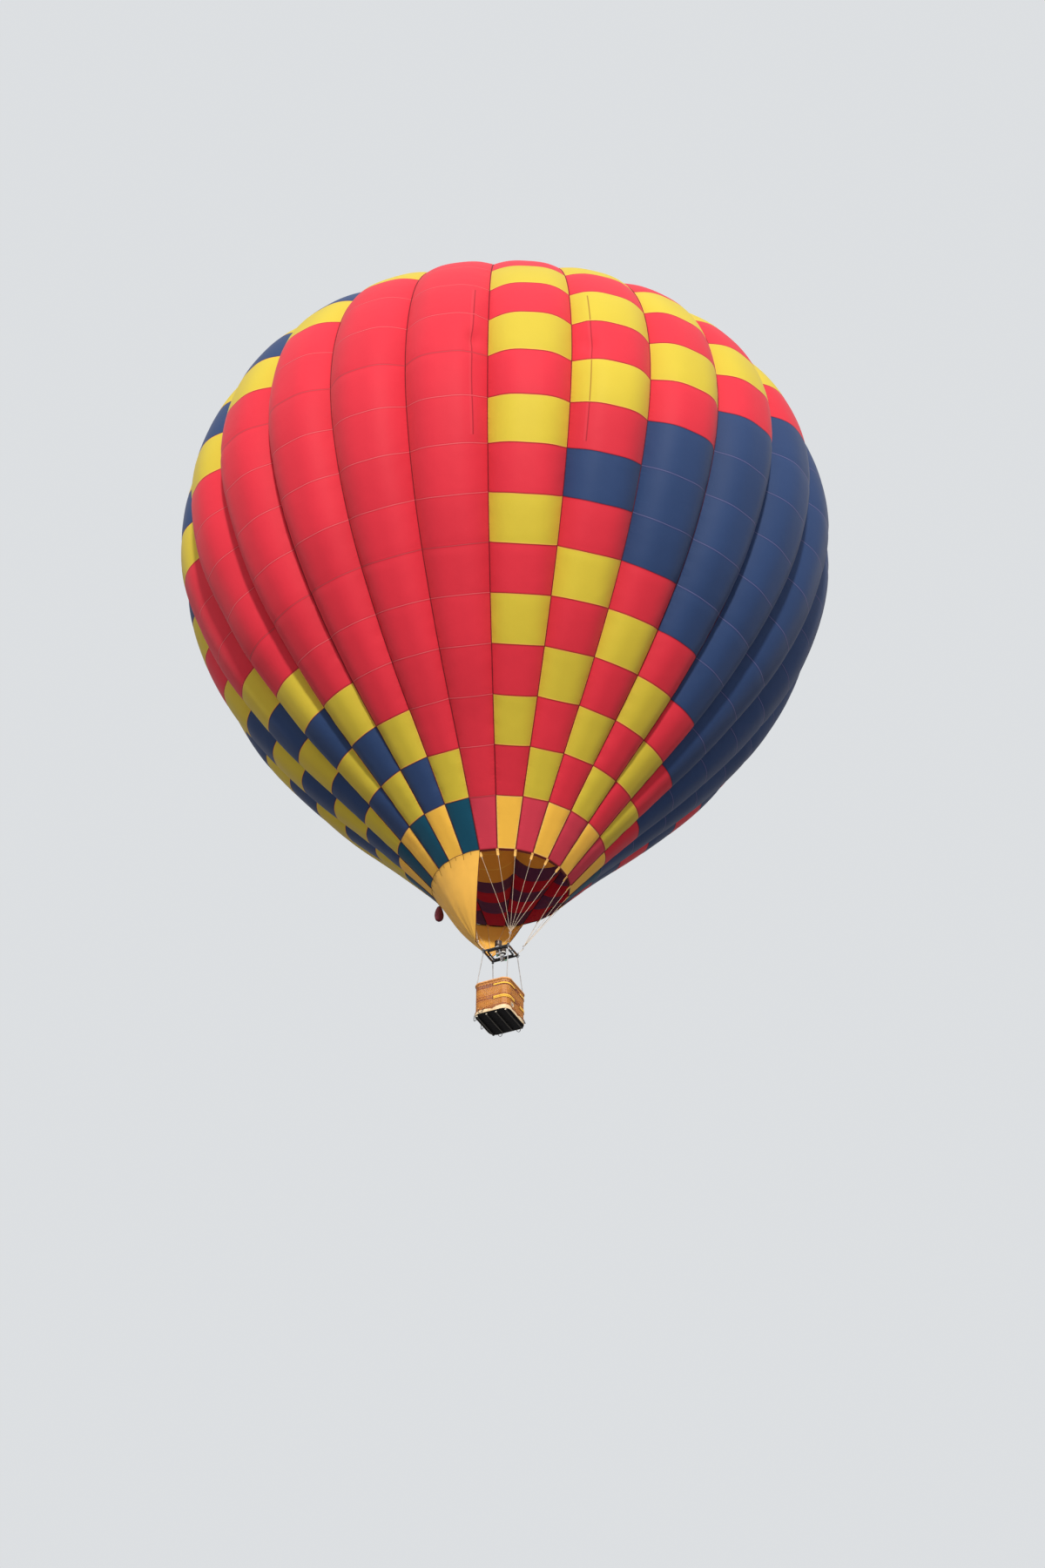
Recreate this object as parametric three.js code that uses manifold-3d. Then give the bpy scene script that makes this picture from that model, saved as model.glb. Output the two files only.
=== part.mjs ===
// A hot air balloon: a fabric envelope of 24 gores with a parachute vent, its rigging
// and scoop, a load frame with a gimballed double burner, and a wicker basket.
// Millimetres, +Z up. The origin is on the envelope's axis at its widest circle,
// the basket's long side lies along Y and the scoop is on the -X side.
import * as THREE from "three";
import { mergeVertices } from "three/addons/utils/BufferGeometryUtils.js";
import Module from "manifold-3d";

const wasm = await Module();
wasm.setup();

const TOUCH = 0.3; // gap between pieces that touch

// Envelope
const GORES = 24;
const GORE_DEG = 360 / GORES;
const FIRST_TAPE_DEG = 22.5; // azimuth of the load tape before the first gore
const ROW = 1450; // height of one cloth panel along the gore
const FIRST_ROW = 1537; // height of the heat-proof panel at the mouth
const GORE_ROWS = 17; // panels from the mouth to the vent's edge
const MOUTH_RADIUS = 2008; // at the load tapes
// The meridian is a chain of arcs. Each knot: row, slope of the cloth in degrees.
const MERIDIAN = [
  { row: 0, slope: 50.9 },
  { row: 3, slope: 48.4 },
  { row: 6, slope: 58.2 },
  { row: 9, slope: 76.9 },
  { row: 12, slope: 108.6 },
  { row: 15, slope: 154.3 },
  { row: 19.4, slope: 180 },
];
const SHELL = 10; // thickness of every cloth solid
const FULLNESS = 0.265; // how far a gore bellies out between its tapes, as a share of its width
const FULLNESS_SKEW = 0.65; // under 1 moves the fullest place below the gore's middle
const ACROSS = 5; // facets across a gore

// Crown and vent
const CROWN_ROW = 19.18; // where the crown tapes meet their ring
const CROWN_TAPE_WIDTH = 60;
const CROWN_RING_WIDTH = 110;
const CROWN_RING_HEIGHT = 16;
const VENT_OVERLAP = 0.17; // rows of cloth that the vent overlaps
const VENT_DROP = 22; // from the envelope's outside to the vent's outside

// Mouth, wires and scoop
const MOUTH_BAND = 60;
const WIRE_RADIUS = 3;
const WIRE_START = 1.5; // below the mouth band
const WIRES_PER_CORNER = 6;
const SCOOP_GORES = 12;
const SCOOP_FIRST_TAPE = 11; // the scoop covers the gores from this tape on
const SCOOP_GAP = 0.5; // between the mouth band and the scoop
const SCOOP_BILLOW = 110;
const SCOOP_PAST_LINK = 42; // from the link's middle to the scoop's lower corner
const SCOOP_STEPS = 8;

// Load frame and burner
const FRAME_DROP = 2260; // from the mouth to the top of the load frame
const FRAME_X = 790; // between the frame's corner sockets
const FRAME_Y = 620;
const TUBE = 40;
const SOCKET_RADIUS = 31;
const SOCKET_HEIGHT = 120;
const LINK_RISE = 260; // from the frame's top to the corner link
const LINK_OUT = 120; // outwards from the socket, on X and on Y
const LINK_RADIUS = 26;
const LINK_HEIGHT = 70;
const STEM_RADIUS = 11;
const PIN_RADIUS = 11;
const PIN_BORE = 12.1;
const GIMBAL_X = 640;
const GIMBAL_Y = 500;
const GIMBAL_BAR = 36;
const BURNER_SPACING = 290; // between the two burners' axes, along Y
const CAN_RADIUS = 105;
const CAN_WALL = 12;
const CAN_RISE = 50; // from the gimbal's axis to the can's bottom
const CAN_HEIGHT = 255;
const BLOCK_SIZE = 104;
const BLOCK_DROP = 150; // from the gimbal's axis to the valve block's underside

// Basket
const BASKET_X = 1100;
const BASKET_Y = 1220;
const BASKET_CORNER = 220;
const RIM_DROP = 3540; // from the mouth to the top of the rim
const BASKET_HEIGHT = 1110; // from the runners to the top of the rim
const WALL = 36;
const RIM_HEIGHT = 64;
const RIM_BEVEL = 20; // how far the rim stands out from the wall, on both sides
const FLOOR = 20;
const RUNNER_WIDTH = 50;
const RUNNER_HEIGHT = 48;
const RUNNER_SPACING = 300;
const RUNNER_LENGTH = 1100;
const SKIRT_HEIGHT = 135;
const SKIRT = 7;
const STEP_HOLE = { y: -280, up: 300, width: 150, height: 120 };
const UPRIGHT_RADIUS = 14;
const UPRIGHT_INSET = 77; // from the basket's sides to the upright's foot
const TANK_RADIUS = 148;
const TANK_HEIGHT = 860;
const TANK_GAP = 20; // between a tank and the basket's walls
const TANK_CORNERS = [
  { name: "front_right", x: 1, y: -1 },
  { name: "back_right", x: 1, y: 1 },
  { name: "back_left", x: -1, y: 1 },
];
const CORNERS = [
  { name: "front_right", x: 1, y: -1, firstTape: -1 },
  { name: "back_right", x: 1, y: 1, firstTape: 5 },
  { name: "back_left", x: -1, y: 1, firstTape: 11 },
  { name: "front_left", x: -1, y: -1, firstTape: 17 },
];

// Materials
function finish(color, roughness, metalness) {
  return new THREE.MeshStandardMaterial({ color, roughness, metalness });
}
const RED = finish(0xd02843, 0.7, 0);
const YELLOW = finish(0xd8cb3c, 0.7, 0);
const BLUE = finish(0x36466e, 0.7, 0);
const MUSTARD = finish(0xe8b640, 0.75, 0);
const WEBBING = finish(0x5a1c22, 0.8, 0);
const STEEL = finish(0x9a9ea2, 0.35, 1);
const DARK_TUBE = finish(0x1c1e22, 0.45, 0.6);
const WICKER = finish(0xb9752f, 0.7, 0);
const HIDE = finish(0xcdb890, 0.65, 0);
const PLYWOOD = finish(0x1e1d1b, 0.7, 0);
const PADDING = finish(0x7a2630, 0.8, 0);
const TANK = finish(0xb7babd, 0.4, 1);
const BAG = finish(0x6a1f2c, 0.8, 0);

const radians = THREE.MathUtils.degToRad;

// Azimuth 0 is -Y and 90 is +X.
function polar(azimuth, radius, z) {
  const angle = radians(azimuth);
  return new THREE.Vector3(radius * Math.sin(angle), -radius * Math.cos(angle), z);
}

function alongGore(row) {
  return row < 1 ? row * FIRST_ROW : FIRST_ROW + (row - 1) * ROW;
}

// The radius, height above the mouth and slope of the load tape at a row.
function meridian(row) {
  let r = MOUTH_RADIUS;
  let z = 0;
  let slope = radians(MERIDIAN[0].slope);
  for (let i = 1; i < MERIDIAN.length; i += 1) {
    const [from, to] = [MERIDIAN[i - 1], MERIDIAN[i]];
    if (row <= from.row) {
      break;
    }
    const whole = alongGore(to.row) - alongGore(from.row);
    const length = Math.min(alongGore(row) - alongGore(from.row), whole);
    const turn = (radians(to.slope - from.slope) * length) / whole;
    const next = slope + turn;
    r += (length * (Math.sin(next) - Math.sin(slope))) / turn;
    z += (length * (Math.cos(slope) - Math.cos(next))) / turn;
    slope = next;
  }
  return { r, z, slope };
}

// The row whose slope is upright, which is the widest circle.
function widestRow() {
  const i = MERIDIAN.findIndex((knot) => knot.slope > 90);
  const [from, to] = [MERIDIAN[i - 1], MERIDIAN[i]];
  return from.row + ((to.row - from.row) * (90 - from.slope)) / (to.slope - from.slope);
}

const MOUTH_Z = -meridian(widestRow()).z;
const FRAME_TOP = MOUTH_Z - FRAME_DROP;
const FRAME_MIDDLE = FRAME_TOP - TUBE / 2;
const RIM_TOP = MOUTH_Z - RIM_DROP;
const BASKET_BOTTOM = RIM_TOP - BASKET_HEIGHT;
const FLOOR_TOP = BASKET_BOTTOM + RUNNER_HEIGHT + FLOOR;

// A point on the load tape's line, moved inwards through the cloth.
function tapePoint(azimuth, row, inwards) {
  const { r, z, slope } = meridian(row);
  const radius = r - inwards * Math.sin(slope);
  return polar(azimuth, radius, z + MOUTH_Z + inwards * Math.cos(slope));
}

function tapeAzimuth(index) {
  return FIRST_TAPE_DEG + GORE_DEG * index;
}

// Whole 64ths of a millimetre, which 32-bit numbers hold exactly.
function snap(x) {
  return Math.round(x * 64) / 64;
}

// Bends a box's grid to a surface: pointOf gets the share across, along and through.
function bentBox(across, along, pointOf) {
  const geometry = new THREE.BoxGeometry(1, 1, 1, across, 1, along);
  const position = geometry.getAttribute("position");
  for (let i = 0; i < position.count; i += 1) {
    const u = position.getX(i) + 0.5;
    const through = position.getY(i) + 0.5;
    const v = position.getZ(i) + 0.5;
    const p = pointOf(u, v, through);
    position.setXYZ(i, snap(p.x), snap(p.y), snap(p.z));
  }
  return geometry;
}

// Turns a profile of [radius, height] round the Z axis, its corners on the load tapes.
function turned(profile, segments, start = 0) {
  const points = profile.map(([r, z]) => new THREE.Vector2(r, z));
  const geometry = new THREE.LatheGeometry(points, segments, radians(start));
  return geometry.rotateX(Math.PI / 2);
}

function toSolid(geometry) {
  const bare = geometry.clone();
  bare.deleteAttribute("normal");
  bare.deleteAttribute("uv");
  const merged = mergeVertices(bare, 1e-3);
  return new wasm.Manifold(
    new wasm.Mesh({
      numProp: 3,
      vertProperties: new Float32Array(merged.getAttribute("position").array),
      triVerts: new Uint32Array(merged.index.array),
    }),
  );
}

function toGeometry(solid) {
  const mesh = solid.getMesh();
  const geometry = new THREE.BufferGeometry();
  geometry.setAttribute("position", new THREE.BufferAttribute(mesh.vertProperties, 3));
  geometry.setIndex(new THREE.BufferAttribute(mesh.triVerts, 1));
  geometry.computeVertexNormals();
  return geometry;
}

function join(pieces) {
  return toGeometry(pieces.map(toSolid).reduce((all, piece) => all.add(piece)));
}

function cut(body, tools) {
  return toGeometry(tools.map(toSolid).reduce((all, t) => all.subtract(t), toSolid(body)));
}

function box(x, y, z, width, depth, height) {
  return new THREE.BoxGeometry(width, depth, height).translate(x, y, z);
}

// A cylinder between two points.
function rod(start, end, radius, sides) {
  const way = new THREE.Vector3().subVectors(end, start);
  const geometry = new THREE.CylinderGeometry(radius, radius, way.length(), sides);
  const turn = new THREE.Quaternion().setFromUnitVectors(
    new THREE.Vector3(0, 1, 0),
    way.clone().normalize(),
  );
  const middle = new THREE.Vector3().addVectors(start, end).multiplyScalar(0.5);
  return geometry.applyQuaternion(turn).translate(middle.x, middle.y, middle.z);
}

// A cylinder with level ends whose top is moved aside.
function leaningRod(start, end, radius, sides) {
  const height = end.z - start.z;
  const geometry = new THREE.CylinderGeometry(radius, radius, height, sides);
  geometry.rotateX(Math.PI / 2);
  const position = geometry.getAttribute("position");
  for (let i = 0; i < position.count; i += 1) {
    const up = position.getZ(i) / height + 0.5;
    position.setX(i, position.getX(i) + start.x + (end.x - start.x) * up);
    position.setY(i, position.getY(i) + start.y + (end.y - start.y) * up);
    position.setZ(i, start.z + height * up);
  }
  return geometry;
}

function roundedRectangle(path, width, depth, corner) {
  const x = width / 2 - corner;
  const y = depth / 2 - corner;
  path.moveTo(x, -y - corner);
  path.absarc(x, -y, corner, -Math.PI / 2, 0, false);
  path.absarc(x, y, corner, 0, Math.PI / 2, false);
  path.absarc(-x, y, corner, Math.PI / 2, Math.PI, false);
  path.absarc(-x, -y, corner, Math.PI, (3 * Math.PI) / 2, false);
  path.closePath();
  return path;
}

// A rounded rectangle ring standing on the height z; wall is its thickness.
function ring(width, depth, corner, wall, z, height, bevel = 0) {
  const shape = roundedRectangle(new THREE.Shape(), width, depth, corner);
  const inner = [width - 2 * wall, depth - 2 * wall, Math.max(corner - wall, 4)];
  shape.holes.push(roundedRectangle(new THREE.Path(), ...inner));
  const options = { depth: height - 2 * bevel, curveSegments: 5, bevelEnabled: bevel > 0 };
  options.bevelSize = bevel;
  options.bevelThickness = bevel;
  options.bevelSegments = 2;
  return new THREE.ExtrudeGeometry(shape, options).translate(0, 0, z + bevel);
}

const balloon = new THREE.Group();

function add(name, geometry, material) {
  const mesh = new THREE.Mesh(geometry, material);
  mesh.name = name;
  balloon.add(mesh);
}

// The section of a gore between its tapes is an arc. Gives the place across and the
// height over the chord, both as shares of the chord, and the cloth's lean there.
function goreSection(u, fullness) {
  const half = 2 * Math.atan(2 * fullness);
  if (half < 1e-6) {
    return { across: u, over: 0, lean: 0 };
  }
  const lean = half * (2 * u - 1);
  const across = 0.5 + Math.sin(lean) / (2 * Math.sin(half));
  return { across, over: (Math.cos(lean) - Math.cos(half)) / (2 * Math.sin(half)), lean };
}

// Gores: three fields of eight, in red, blue and yellow.
function goreGeometry(index) {
  return bentBox(ACROSS, GORE_ROWS, (u, v, through) => {
    const row = v * GORE_ROWS;
    const slope = meridian(row).slope;
    const fullness = FULLNESS * Math.sin(Math.PI * v ** FULLNESS_SKEW);
    const section = goreSection(u, fullness);
    // A leaning cloth is mitred at the tape, so that it keeps its thickness.
    const inwards = (through * SHELL) / Math.cos(section.lean);
    const left = tapePoint(tapeAzimuth(index), row, inwards);
    const right = tapePoint(tapeAzimuth(index + 1), row, inwards);
    const width = left.distanceTo(right);
    const middle = tapeAzimuth(index + 0.5);
    const outwards = polar(middle, Math.sin(slope), -Math.cos(slope));
    const sideways = polar(middle + 90, 1, 0);
    return left
      .lerp(right, section.across)
      .addScaledVector(outwards, width * section.over)
      .addScaledVector(sideways, TOUCH * (0.5 - u));
  });
}

const FIELDS = [BLUE, YELLOW, RED];
for (let index = 0; index < GORES; index += 1) {
  const name = `gore_${String(index + 1).padStart(2, "0")}`;
  add(name, goreGeometry(index), FIELDS[Math.floor(index / 8)]);
}

// Crown tapes: one for each load tape, over the vent to the crown ring.
function crownTapes() {
  const rows = CROWN_ROW - GORE_ROWS;
  // The gores' edges are chords, so a tape's square end starts a little inside them.
  const start = (TOUCH + (CROWN_TAPE_WIDTH / 2) * Math.tan(radians(GORE_DEG / 2))) / ROW;
  const pieces = [];
  for (let index = 0; index < GORES; index += 1) {
    const azimuth = tapeAzimuth(index);
    const sideways = polar(azimuth + 90, CROWN_TAPE_WIDTH, 0);
    pieces.push(
      bentBox(1, 3, (u, v, through) =>
        tapePoint(azimuth, GORE_ROWS + start + v * rows, through * SHELL).addScaledVector(
          sideways,
          u - 0.5,
        ),
      ),
    );
  }
  const { r, z } = meridian(CROWN_ROW);
  const top = z + MOUTH_Z + 3;
  const inside = r - CROWN_RING_WIDTH;
  pieces.push(
    turned(
      [
        [inside, top - CROWN_RING_HEIGHT],
        [r, top - CROWN_RING_HEIGHT],
        [r, top],
        [inside, top],
        [inside, top - CROWN_RING_HEIGHT],
      ],
      GORES,
      FIRST_TAPE_DEG,
    ),
  );
  return join(pieces);
}
add("crown_tapes", crownTapes(), WEBBING);

// Parachute vent: a cloth disc under the crown tapes, which overlaps the gores from inside.
function ventGeometry() {
  const first = GORE_ROWS - VENT_OVERLAP;
  const last = MERIDIAN.at(-1).row - 0.1;
  const steps = 5;
  const side = (inwards) =>
    Array.from({ length: steps + 1 }, (_, i) => {
      const p = tapePoint(90, first + ((last - first) * i) / steps, inwards);
      return [p.x, p.z];
    });
  const outside = side(VENT_DROP);
  const inside = side(VENT_DROP + SHELL).reverse();
  const profile = [[0, inside[0][1]], ...inside, ...outside, [0, outside.at(-1)[1]]];
  return turned(profile, GORES, FIRST_TAPE_DEG);
}
add("parachute_vent", ventGeometry(), YELLOW);

// Mouth band: webbing round the mouth, below the gores' lower edges.
const MOUTH_SLOPE = radians(MERIDIAN[0].slope);
function bandPoint(down, inwards) {
  const r = MOUTH_RADIUS - down * Math.cos(MOUTH_SLOPE) - inwards * Math.sin(MOUTH_SLOPE);
  const z = MOUTH_Z - down * Math.sin(MOUTH_SLOPE) + inwards * Math.cos(MOUTH_SLOPE);
  return [r, z];
}
const bandProfile = [
  bandPoint(MOUTH_BAND, 0),
  bandPoint(TOUCH, 0),
  bandPoint(TOUCH, SHELL),
  bandPoint(MOUTH_BAND, SHELL),
  bandPoint(MOUTH_BAND, 0),
];
add("mouth_band", turned(bandProfile, GORES, FIRST_TAPE_DEG), WEBBING);

// Rigging: at each corner six wires from the mouth meet in a link above the load frame.
function cornerOf(corner, width, depth, z) {
  return new THREE.Vector3((corner.x * width) / 2, (corner.y * depth) / 2, z);
}

const LINK_X = FRAME_X + 2 * LINK_OUT;
const LINK_Y = FRAME_Y + 2 * LINK_OUT;
function rigging(corner) {
  const link = cornerOf(corner, LINK_X, LINK_Y, FRAME_TOP + LINK_RISE);
  const foot = cornerOf(corner, FRAME_X, FRAME_Y, FRAME_MIDDLE + SOCKET_HEIGHT / 2 + TOUCH);
  const linkTop = link.clone().setZ(link.z + LINK_HEIGHT);
  const inside = link.clone().setZ(link.z + LINK_HEIGHT / 2);
  const pieces = [
    rod(link, linkTop, LINK_RADIUS, 10),
    leaningRod(foot, inside, STEM_RADIUS, 8),
  ];
  for (let i = 0; i < WIRES_PER_CORNER; i += 1) {
    const [r, z] = bandPoint(MOUTH_BAND + WIRE_START, SHELL / 2);
    const start = polar(tapeAzimuth(corner.firstTape + i), r, z);
    pieces.push(rod(start, inside, WIRE_RADIUS, 6));
  }
  return join(pieces);
}
for (const corner of CORNERS) {
  add(`rigging_${corner.name}`, rigging(corner), STEEL);
}

// Scoop: heat-proof cloth from half of the mouth down to the links on the -X side.
function scoopGeometry() {
  const bottomZ = FRAME_TOP + LINK_RISE;
  const bottomX = -LINK_X / 2 - SCOOP_PAST_LINK;
  const bottomY = LINK_Y / 2 + SCOOP_PAST_LINK;
  return bentBox(SCOOP_GORES, SCOOP_STEPS, (u, v, through) => {
    const azimuth = tapeAzimuth(SCOOP_FIRST_TAPE + SCOOP_GORES * u);
    const [topR, topZ] = bandPoint(TOUCH, 0);
    const [lowR, lowZ] = bandPoint(MOUTH_BAND, 0);
    const outwards = SCOOP_GAP + (1 - through) * SHELL;
    const normal = polar(azimuth, Math.sin(MOUTH_SLOPE), -Math.cos(MOUTH_SLOPE));
    const low = polar(azimuth, lowR, lowZ);
    // v runs up: the last step lies on the band, the others fall to the frame.
    const step = (1 - v) * SCOOP_STEPS;
    const p = polar(azimuth, topR, topZ);
    if (step >= 0.5) {
      const fall = (step - 1) / (SCOOP_STEPS - 1);
      const spread = THREE.MathUtils.clamp((u - 0.28) / 0.44, 0, 1);
      const share = 0.8 * spread + 0.2 * u;
      const bottom = new THREE.Vector3(bottomX, bottomY - 2 * bottomY * share, bottomZ);
      p.copy(low).lerp(bottom, fall);
      p.addScaledVector(normal, SCOOP_BILLOW * Math.sin(Math.PI * fall));
    }
    return p.addScaledVector(normal, outwards);
  });
}
add("scoop", scoopGeometry(), MUSTARD);

// Line bag: a small sack on a strap outside the mouth band.
function lineBag() {
  const azimuth = -90;
  const flat = Math.cos(radians(GORE_DEG / 2));
  const [r, z] = bandPoint(MOUTH_BAND / 2, -(SCOOP_GAP + SHELL + 4));
  const top = polar(azimuth, r * flat, z);
  const plate = new THREE.BoxGeometry(6, 60, 56);
  plate.rotateY(-(Math.PI / 2 - MOUTH_SLOPE)).translate(top.x, 0, top.z);
  const strap = box(top.x - 8, 0, top.z - 71, 8, 34, 158);
  const sack = new THREE.CapsuleGeometry(95, 190, 4, 10);
  sack.rotateX(Math.PI / 2).scale(0.75, 1, 1).translate(top.x - 24, 0, top.z - 320);
  return join([plate, strap, sack]);
}
add("line_bag", lineBag(), BAG);

// Load frame: a rectangle of tube with a socket at each corner and pins for the gimbal.
function loadFrame() {
  const outer = [FRAME_X + TUBE, FRAME_Y + TUBE];
  const pieces = [ring(...outer, 50, TUBE, FRAME_TOP - TUBE, TUBE)];
  for (const corner of CORNERS) {
    const at = cornerOf(corner, FRAME_X, FRAME_Y, FRAME_MIDDLE);
    const low = at.clone().setZ(at.z - SOCKET_HEIGHT / 2);
    const high = at.clone().setZ(at.z + SOCKET_HEIGHT / 2);
    pieces.push(rod(low, high, SOCKET_RADIUS, 12));
  }
  for (const side of [-1, 1]) {
    const outside = new THREE.Vector3((side * FRAME_X) / 2, 0, FRAME_MIDDLE);
    const inside = new THREE.Vector3(side * (GIMBAL_X / 2 - 30), 0, FRAME_MIDDLE);
    pieces.push(rod(outside, inside, PIN_RADIUS, 12));
  }
  return join(pieces);
}
add("load_frame", loadFrame(), DARK_TUBE);

// Gimbal frame: pitches about X in the load frame and carries the burner on a Y axis.
function gimbalFrame() {
  const body = ring(GIMBAL_X, GIMBAL_Y, 50, GIMBAL_BAR, FRAME_TOP - TUBE, TUBE);
  const bores = [];
  for (const side of [-1, 1]) {
    const from = new THREE.Vector3(side * (GIMBAL_X / 2 + 5), 0, FRAME_MIDDLE);
    const to = new THREE.Vector3(side * (GIMBAL_X / 2 - 34), 0, FRAME_MIDDLE);
    bores.push(rod(from, to, PIN_BORE, 16));
    const inner = new THREE.Vector3(0, side * (GIMBAL_Y / 2 - GIMBAL_BAR - 5), FRAME_MIDDLE);
    const outer = new THREE.Vector3(0, side * (GIMBAL_Y / 2 - 6), FRAME_MIDDLE);
    bores.push(rod(inner, outer, PIN_BORE, 16));
  }
  return cut(body, bores);
}
add("gimbal_frame", gimbalFrame(), DARK_TUBE);

// Burner: a crossbar on the gimbal's inner pins with two valve blocks, and a can on each.
function burnerBlock() {
  const half = GIMBAL_Y / 2 - GIMBAL_BAR;
  const pieces = [box(0, 0, FRAME_MIDDLE, 60, 2 * half - 12, 44)];
  for (const side of [-1, 1]) {
    const from = new THREE.Vector3(0, 0, FRAME_MIDDLE);
    const to = new THREE.Vector3(0, side * (GIMBAL_Y / 2 - 10), FRAME_MIDDLE);
    pieces.push(rod(from, to, PIN_RADIUS, 12));
    const y = (side * BURNER_SPACING) / 2;
    const low = new THREE.Vector3(0, y, FRAME_MIDDLE - BLOCK_DROP);
    const high = new THREE.Vector3(0, y, FRAME_MIDDLE + CAN_RISE);
    const middle = (low.z + FRAME_MIDDLE - 22) / 2;
    pieces.push(box(0, y, middle, BLOCK_SIZE, BLOCK_SIZE, FRAME_MIDDLE - 22 - low.z));
    pieces.push(rod(low.setZ(FRAME_MIDDLE), high, CAN_RADIUS / 2, 12));
  }
  return join(pieces);
}
add("burner_block", burnerBlock(), STEEL);

function burnerCan(side) {
  const bottom = FRAME_MIDDLE + CAN_RISE + TOUCH;
  const profile = [
    [0, bottom],
    [CAN_RADIUS * 0.7, bottom],
    [CAN_RADIUS, bottom + 50],
    [CAN_RADIUS, bottom + CAN_HEIGHT],
    [CAN_RADIUS - CAN_WALL, bottom + CAN_HEIGHT],
    [CAN_RADIUS - CAN_WALL, bottom + 60],
    [0, bottom + 30],
  ];
  return turned(profile, 16).translate(0, (side * BURNER_SPACING) / 2, 0);
}
add("burner_can_front", burnerCan(-1), DARK_TUBE);
add("burner_can_back", burnerCan(1), DARK_TUBE);

// Sleeved uprights between the load frame's sockets and the basket's rim.
for (const corner of CORNERS) {
  const footX = BASKET_X - 2 * UPRIGHT_INSET;
  const footY = BASKET_Y - 2 * UPRIGHT_INSET;
  const low = cornerOf(corner, footX, footY, RIM_TOP + TOUCH);
  const high = cornerOf(corner, FRAME_X, FRAME_Y, FRAME_MIDDLE - SOCKET_HEIGHT / 2 - TOUCH);
  add(`upright_${corner.name}`, leaningRod(low, high, UPRIGHT_RADIUS, 8), PADDING);
}

// Basket: wicker wall with step holes, rim, floor with runners, and a hide skirt.
const WALL_TOP = RIM_TOP - RIM_HEIGHT;
function basketWall() {
  const bottom = FLOOR_TOP + TOUCH;
  const size = [BASKET_X, BASKET_Y, BASKET_CORNER];
  const wall = ring(...size, WALL, bottom, WALL_TOP - TOUCH - bottom);
  const z = BASKET_BOTTOM + STEP_HOLE.up;
  const through = box(0, STEP_HOLE.y, z, BASKET_X + 20, STEP_HOLE.width, STEP_HOLE.height);
  return cut(wall, [through]);
}
add("basket_wall", basketWall(), WICKER);

const rim = ring(BASKET_X, BASKET_Y, BASKET_CORNER, WALL, WALL_TOP, RIM_HEIGHT, RIM_BEVEL);
add("basket_rim", rim, HIDE);

function basketFloor() {
  const shape = roundedRectangle(new THREE.Shape(), BASKET_X, BASKET_Y, BASKET_CORNER);
  const plate = new THREE.ExtrudeGeometry(shape, {
    depth: FLOOR,
    bevelEnabled: false,
    curveSegments: 5,
  });
  const pieces = [plate.translate(0, 0, FLOOR_TOP - FLOOR)];
  for (const step of [-1.5, -0.5, 0.5, 1.5]) {
    const z = BASKET_BOTTOM + RUNNER_HEIGHT / 2 + 1;
    pieces.push(box(step * RUNNER_SPACING, 0, z, RUNNER_WIDTH, RUNNER_LENGTH, RUNNER_HEIGHT + 2));
  }
  return join(pieces);
}
add("basket_floor", basketFloor(), PLYWOOD);

const skirtBottom = FLOOR_TOP - FLOOR;
const skirtOut = 2 * (SKIRT + TOUCH);
const skirtSize = [BASKET_X + skirtOut, BASKET_Y + skirtOut, BASKET_CORNER + SKIRT + TOUCH];
add("hide_skirt", ring(...skirtSize, SKIRT, skirtBottom, SKIRT_HEIGHT), HIDE);

// Fuel tanks standing in three corners of the basket.
for (const corner of TANK_CORNERS) {
  const bottom = FLOOR_TOP + TOUCH;
  const top = bottom + TANK_HEIGHT;
  const profile = [
    [0, bottom],
    [TANK_RADIUS - 12, bottom],
    [TANK_RADIUS - 12, bottom + 50],
    [TANK_RADIUS, bottom + 90],
    [TANK_RADIUS, top - 150],
    [TANK_RADIUS * 0.72, top - 80],
    [TANK_RADIUS * 0.72, top],
    [0, top],
  ];
  const x = corner.x * (BASKET_X / 2 - WALL - TANK_RADIUS - TANK_GAP);
  const y = corner.y * (BASKET_Y / 2 - WALL - TANK_RADIUS - TANK_GAP);
  add(`tank_${corner.name}`, turned(profile, 14).translate(x, y, 0), TANK);
}

export default balloon;
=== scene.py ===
"""Looks of a hot air balloon: cloth envelope, rigging, scoop, burner and wicker basket.
Metres, +Z up. The origin is on the envelope's axis at its widest circle."""
import math
import random

import bpy
import numpy as np
from mathutils import Matrix, Vector


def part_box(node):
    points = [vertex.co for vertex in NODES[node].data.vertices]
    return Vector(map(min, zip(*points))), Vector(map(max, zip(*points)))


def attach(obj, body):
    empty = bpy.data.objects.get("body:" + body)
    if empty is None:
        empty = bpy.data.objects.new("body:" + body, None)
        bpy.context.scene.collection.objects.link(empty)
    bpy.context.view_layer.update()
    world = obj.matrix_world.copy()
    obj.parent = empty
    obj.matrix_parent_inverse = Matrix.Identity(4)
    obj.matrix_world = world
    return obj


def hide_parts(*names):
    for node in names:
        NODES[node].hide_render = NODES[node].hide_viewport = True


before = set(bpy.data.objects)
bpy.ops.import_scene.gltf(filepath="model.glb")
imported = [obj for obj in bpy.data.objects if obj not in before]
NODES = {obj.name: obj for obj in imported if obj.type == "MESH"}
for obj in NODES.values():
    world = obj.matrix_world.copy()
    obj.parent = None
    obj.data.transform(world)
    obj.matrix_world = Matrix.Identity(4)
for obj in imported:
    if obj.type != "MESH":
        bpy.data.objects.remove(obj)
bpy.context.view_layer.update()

random.seed(24)

# Envelope, as in the solids
GORES = 24
GORE_DEG = 360 / GORES
FIRST_TAPE_DEG = 22.5
ROW = 1.45
FIRST_ROW = 1.537
GORE_ROWS = 17
MOUTH_RADIUS = 2.008
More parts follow.
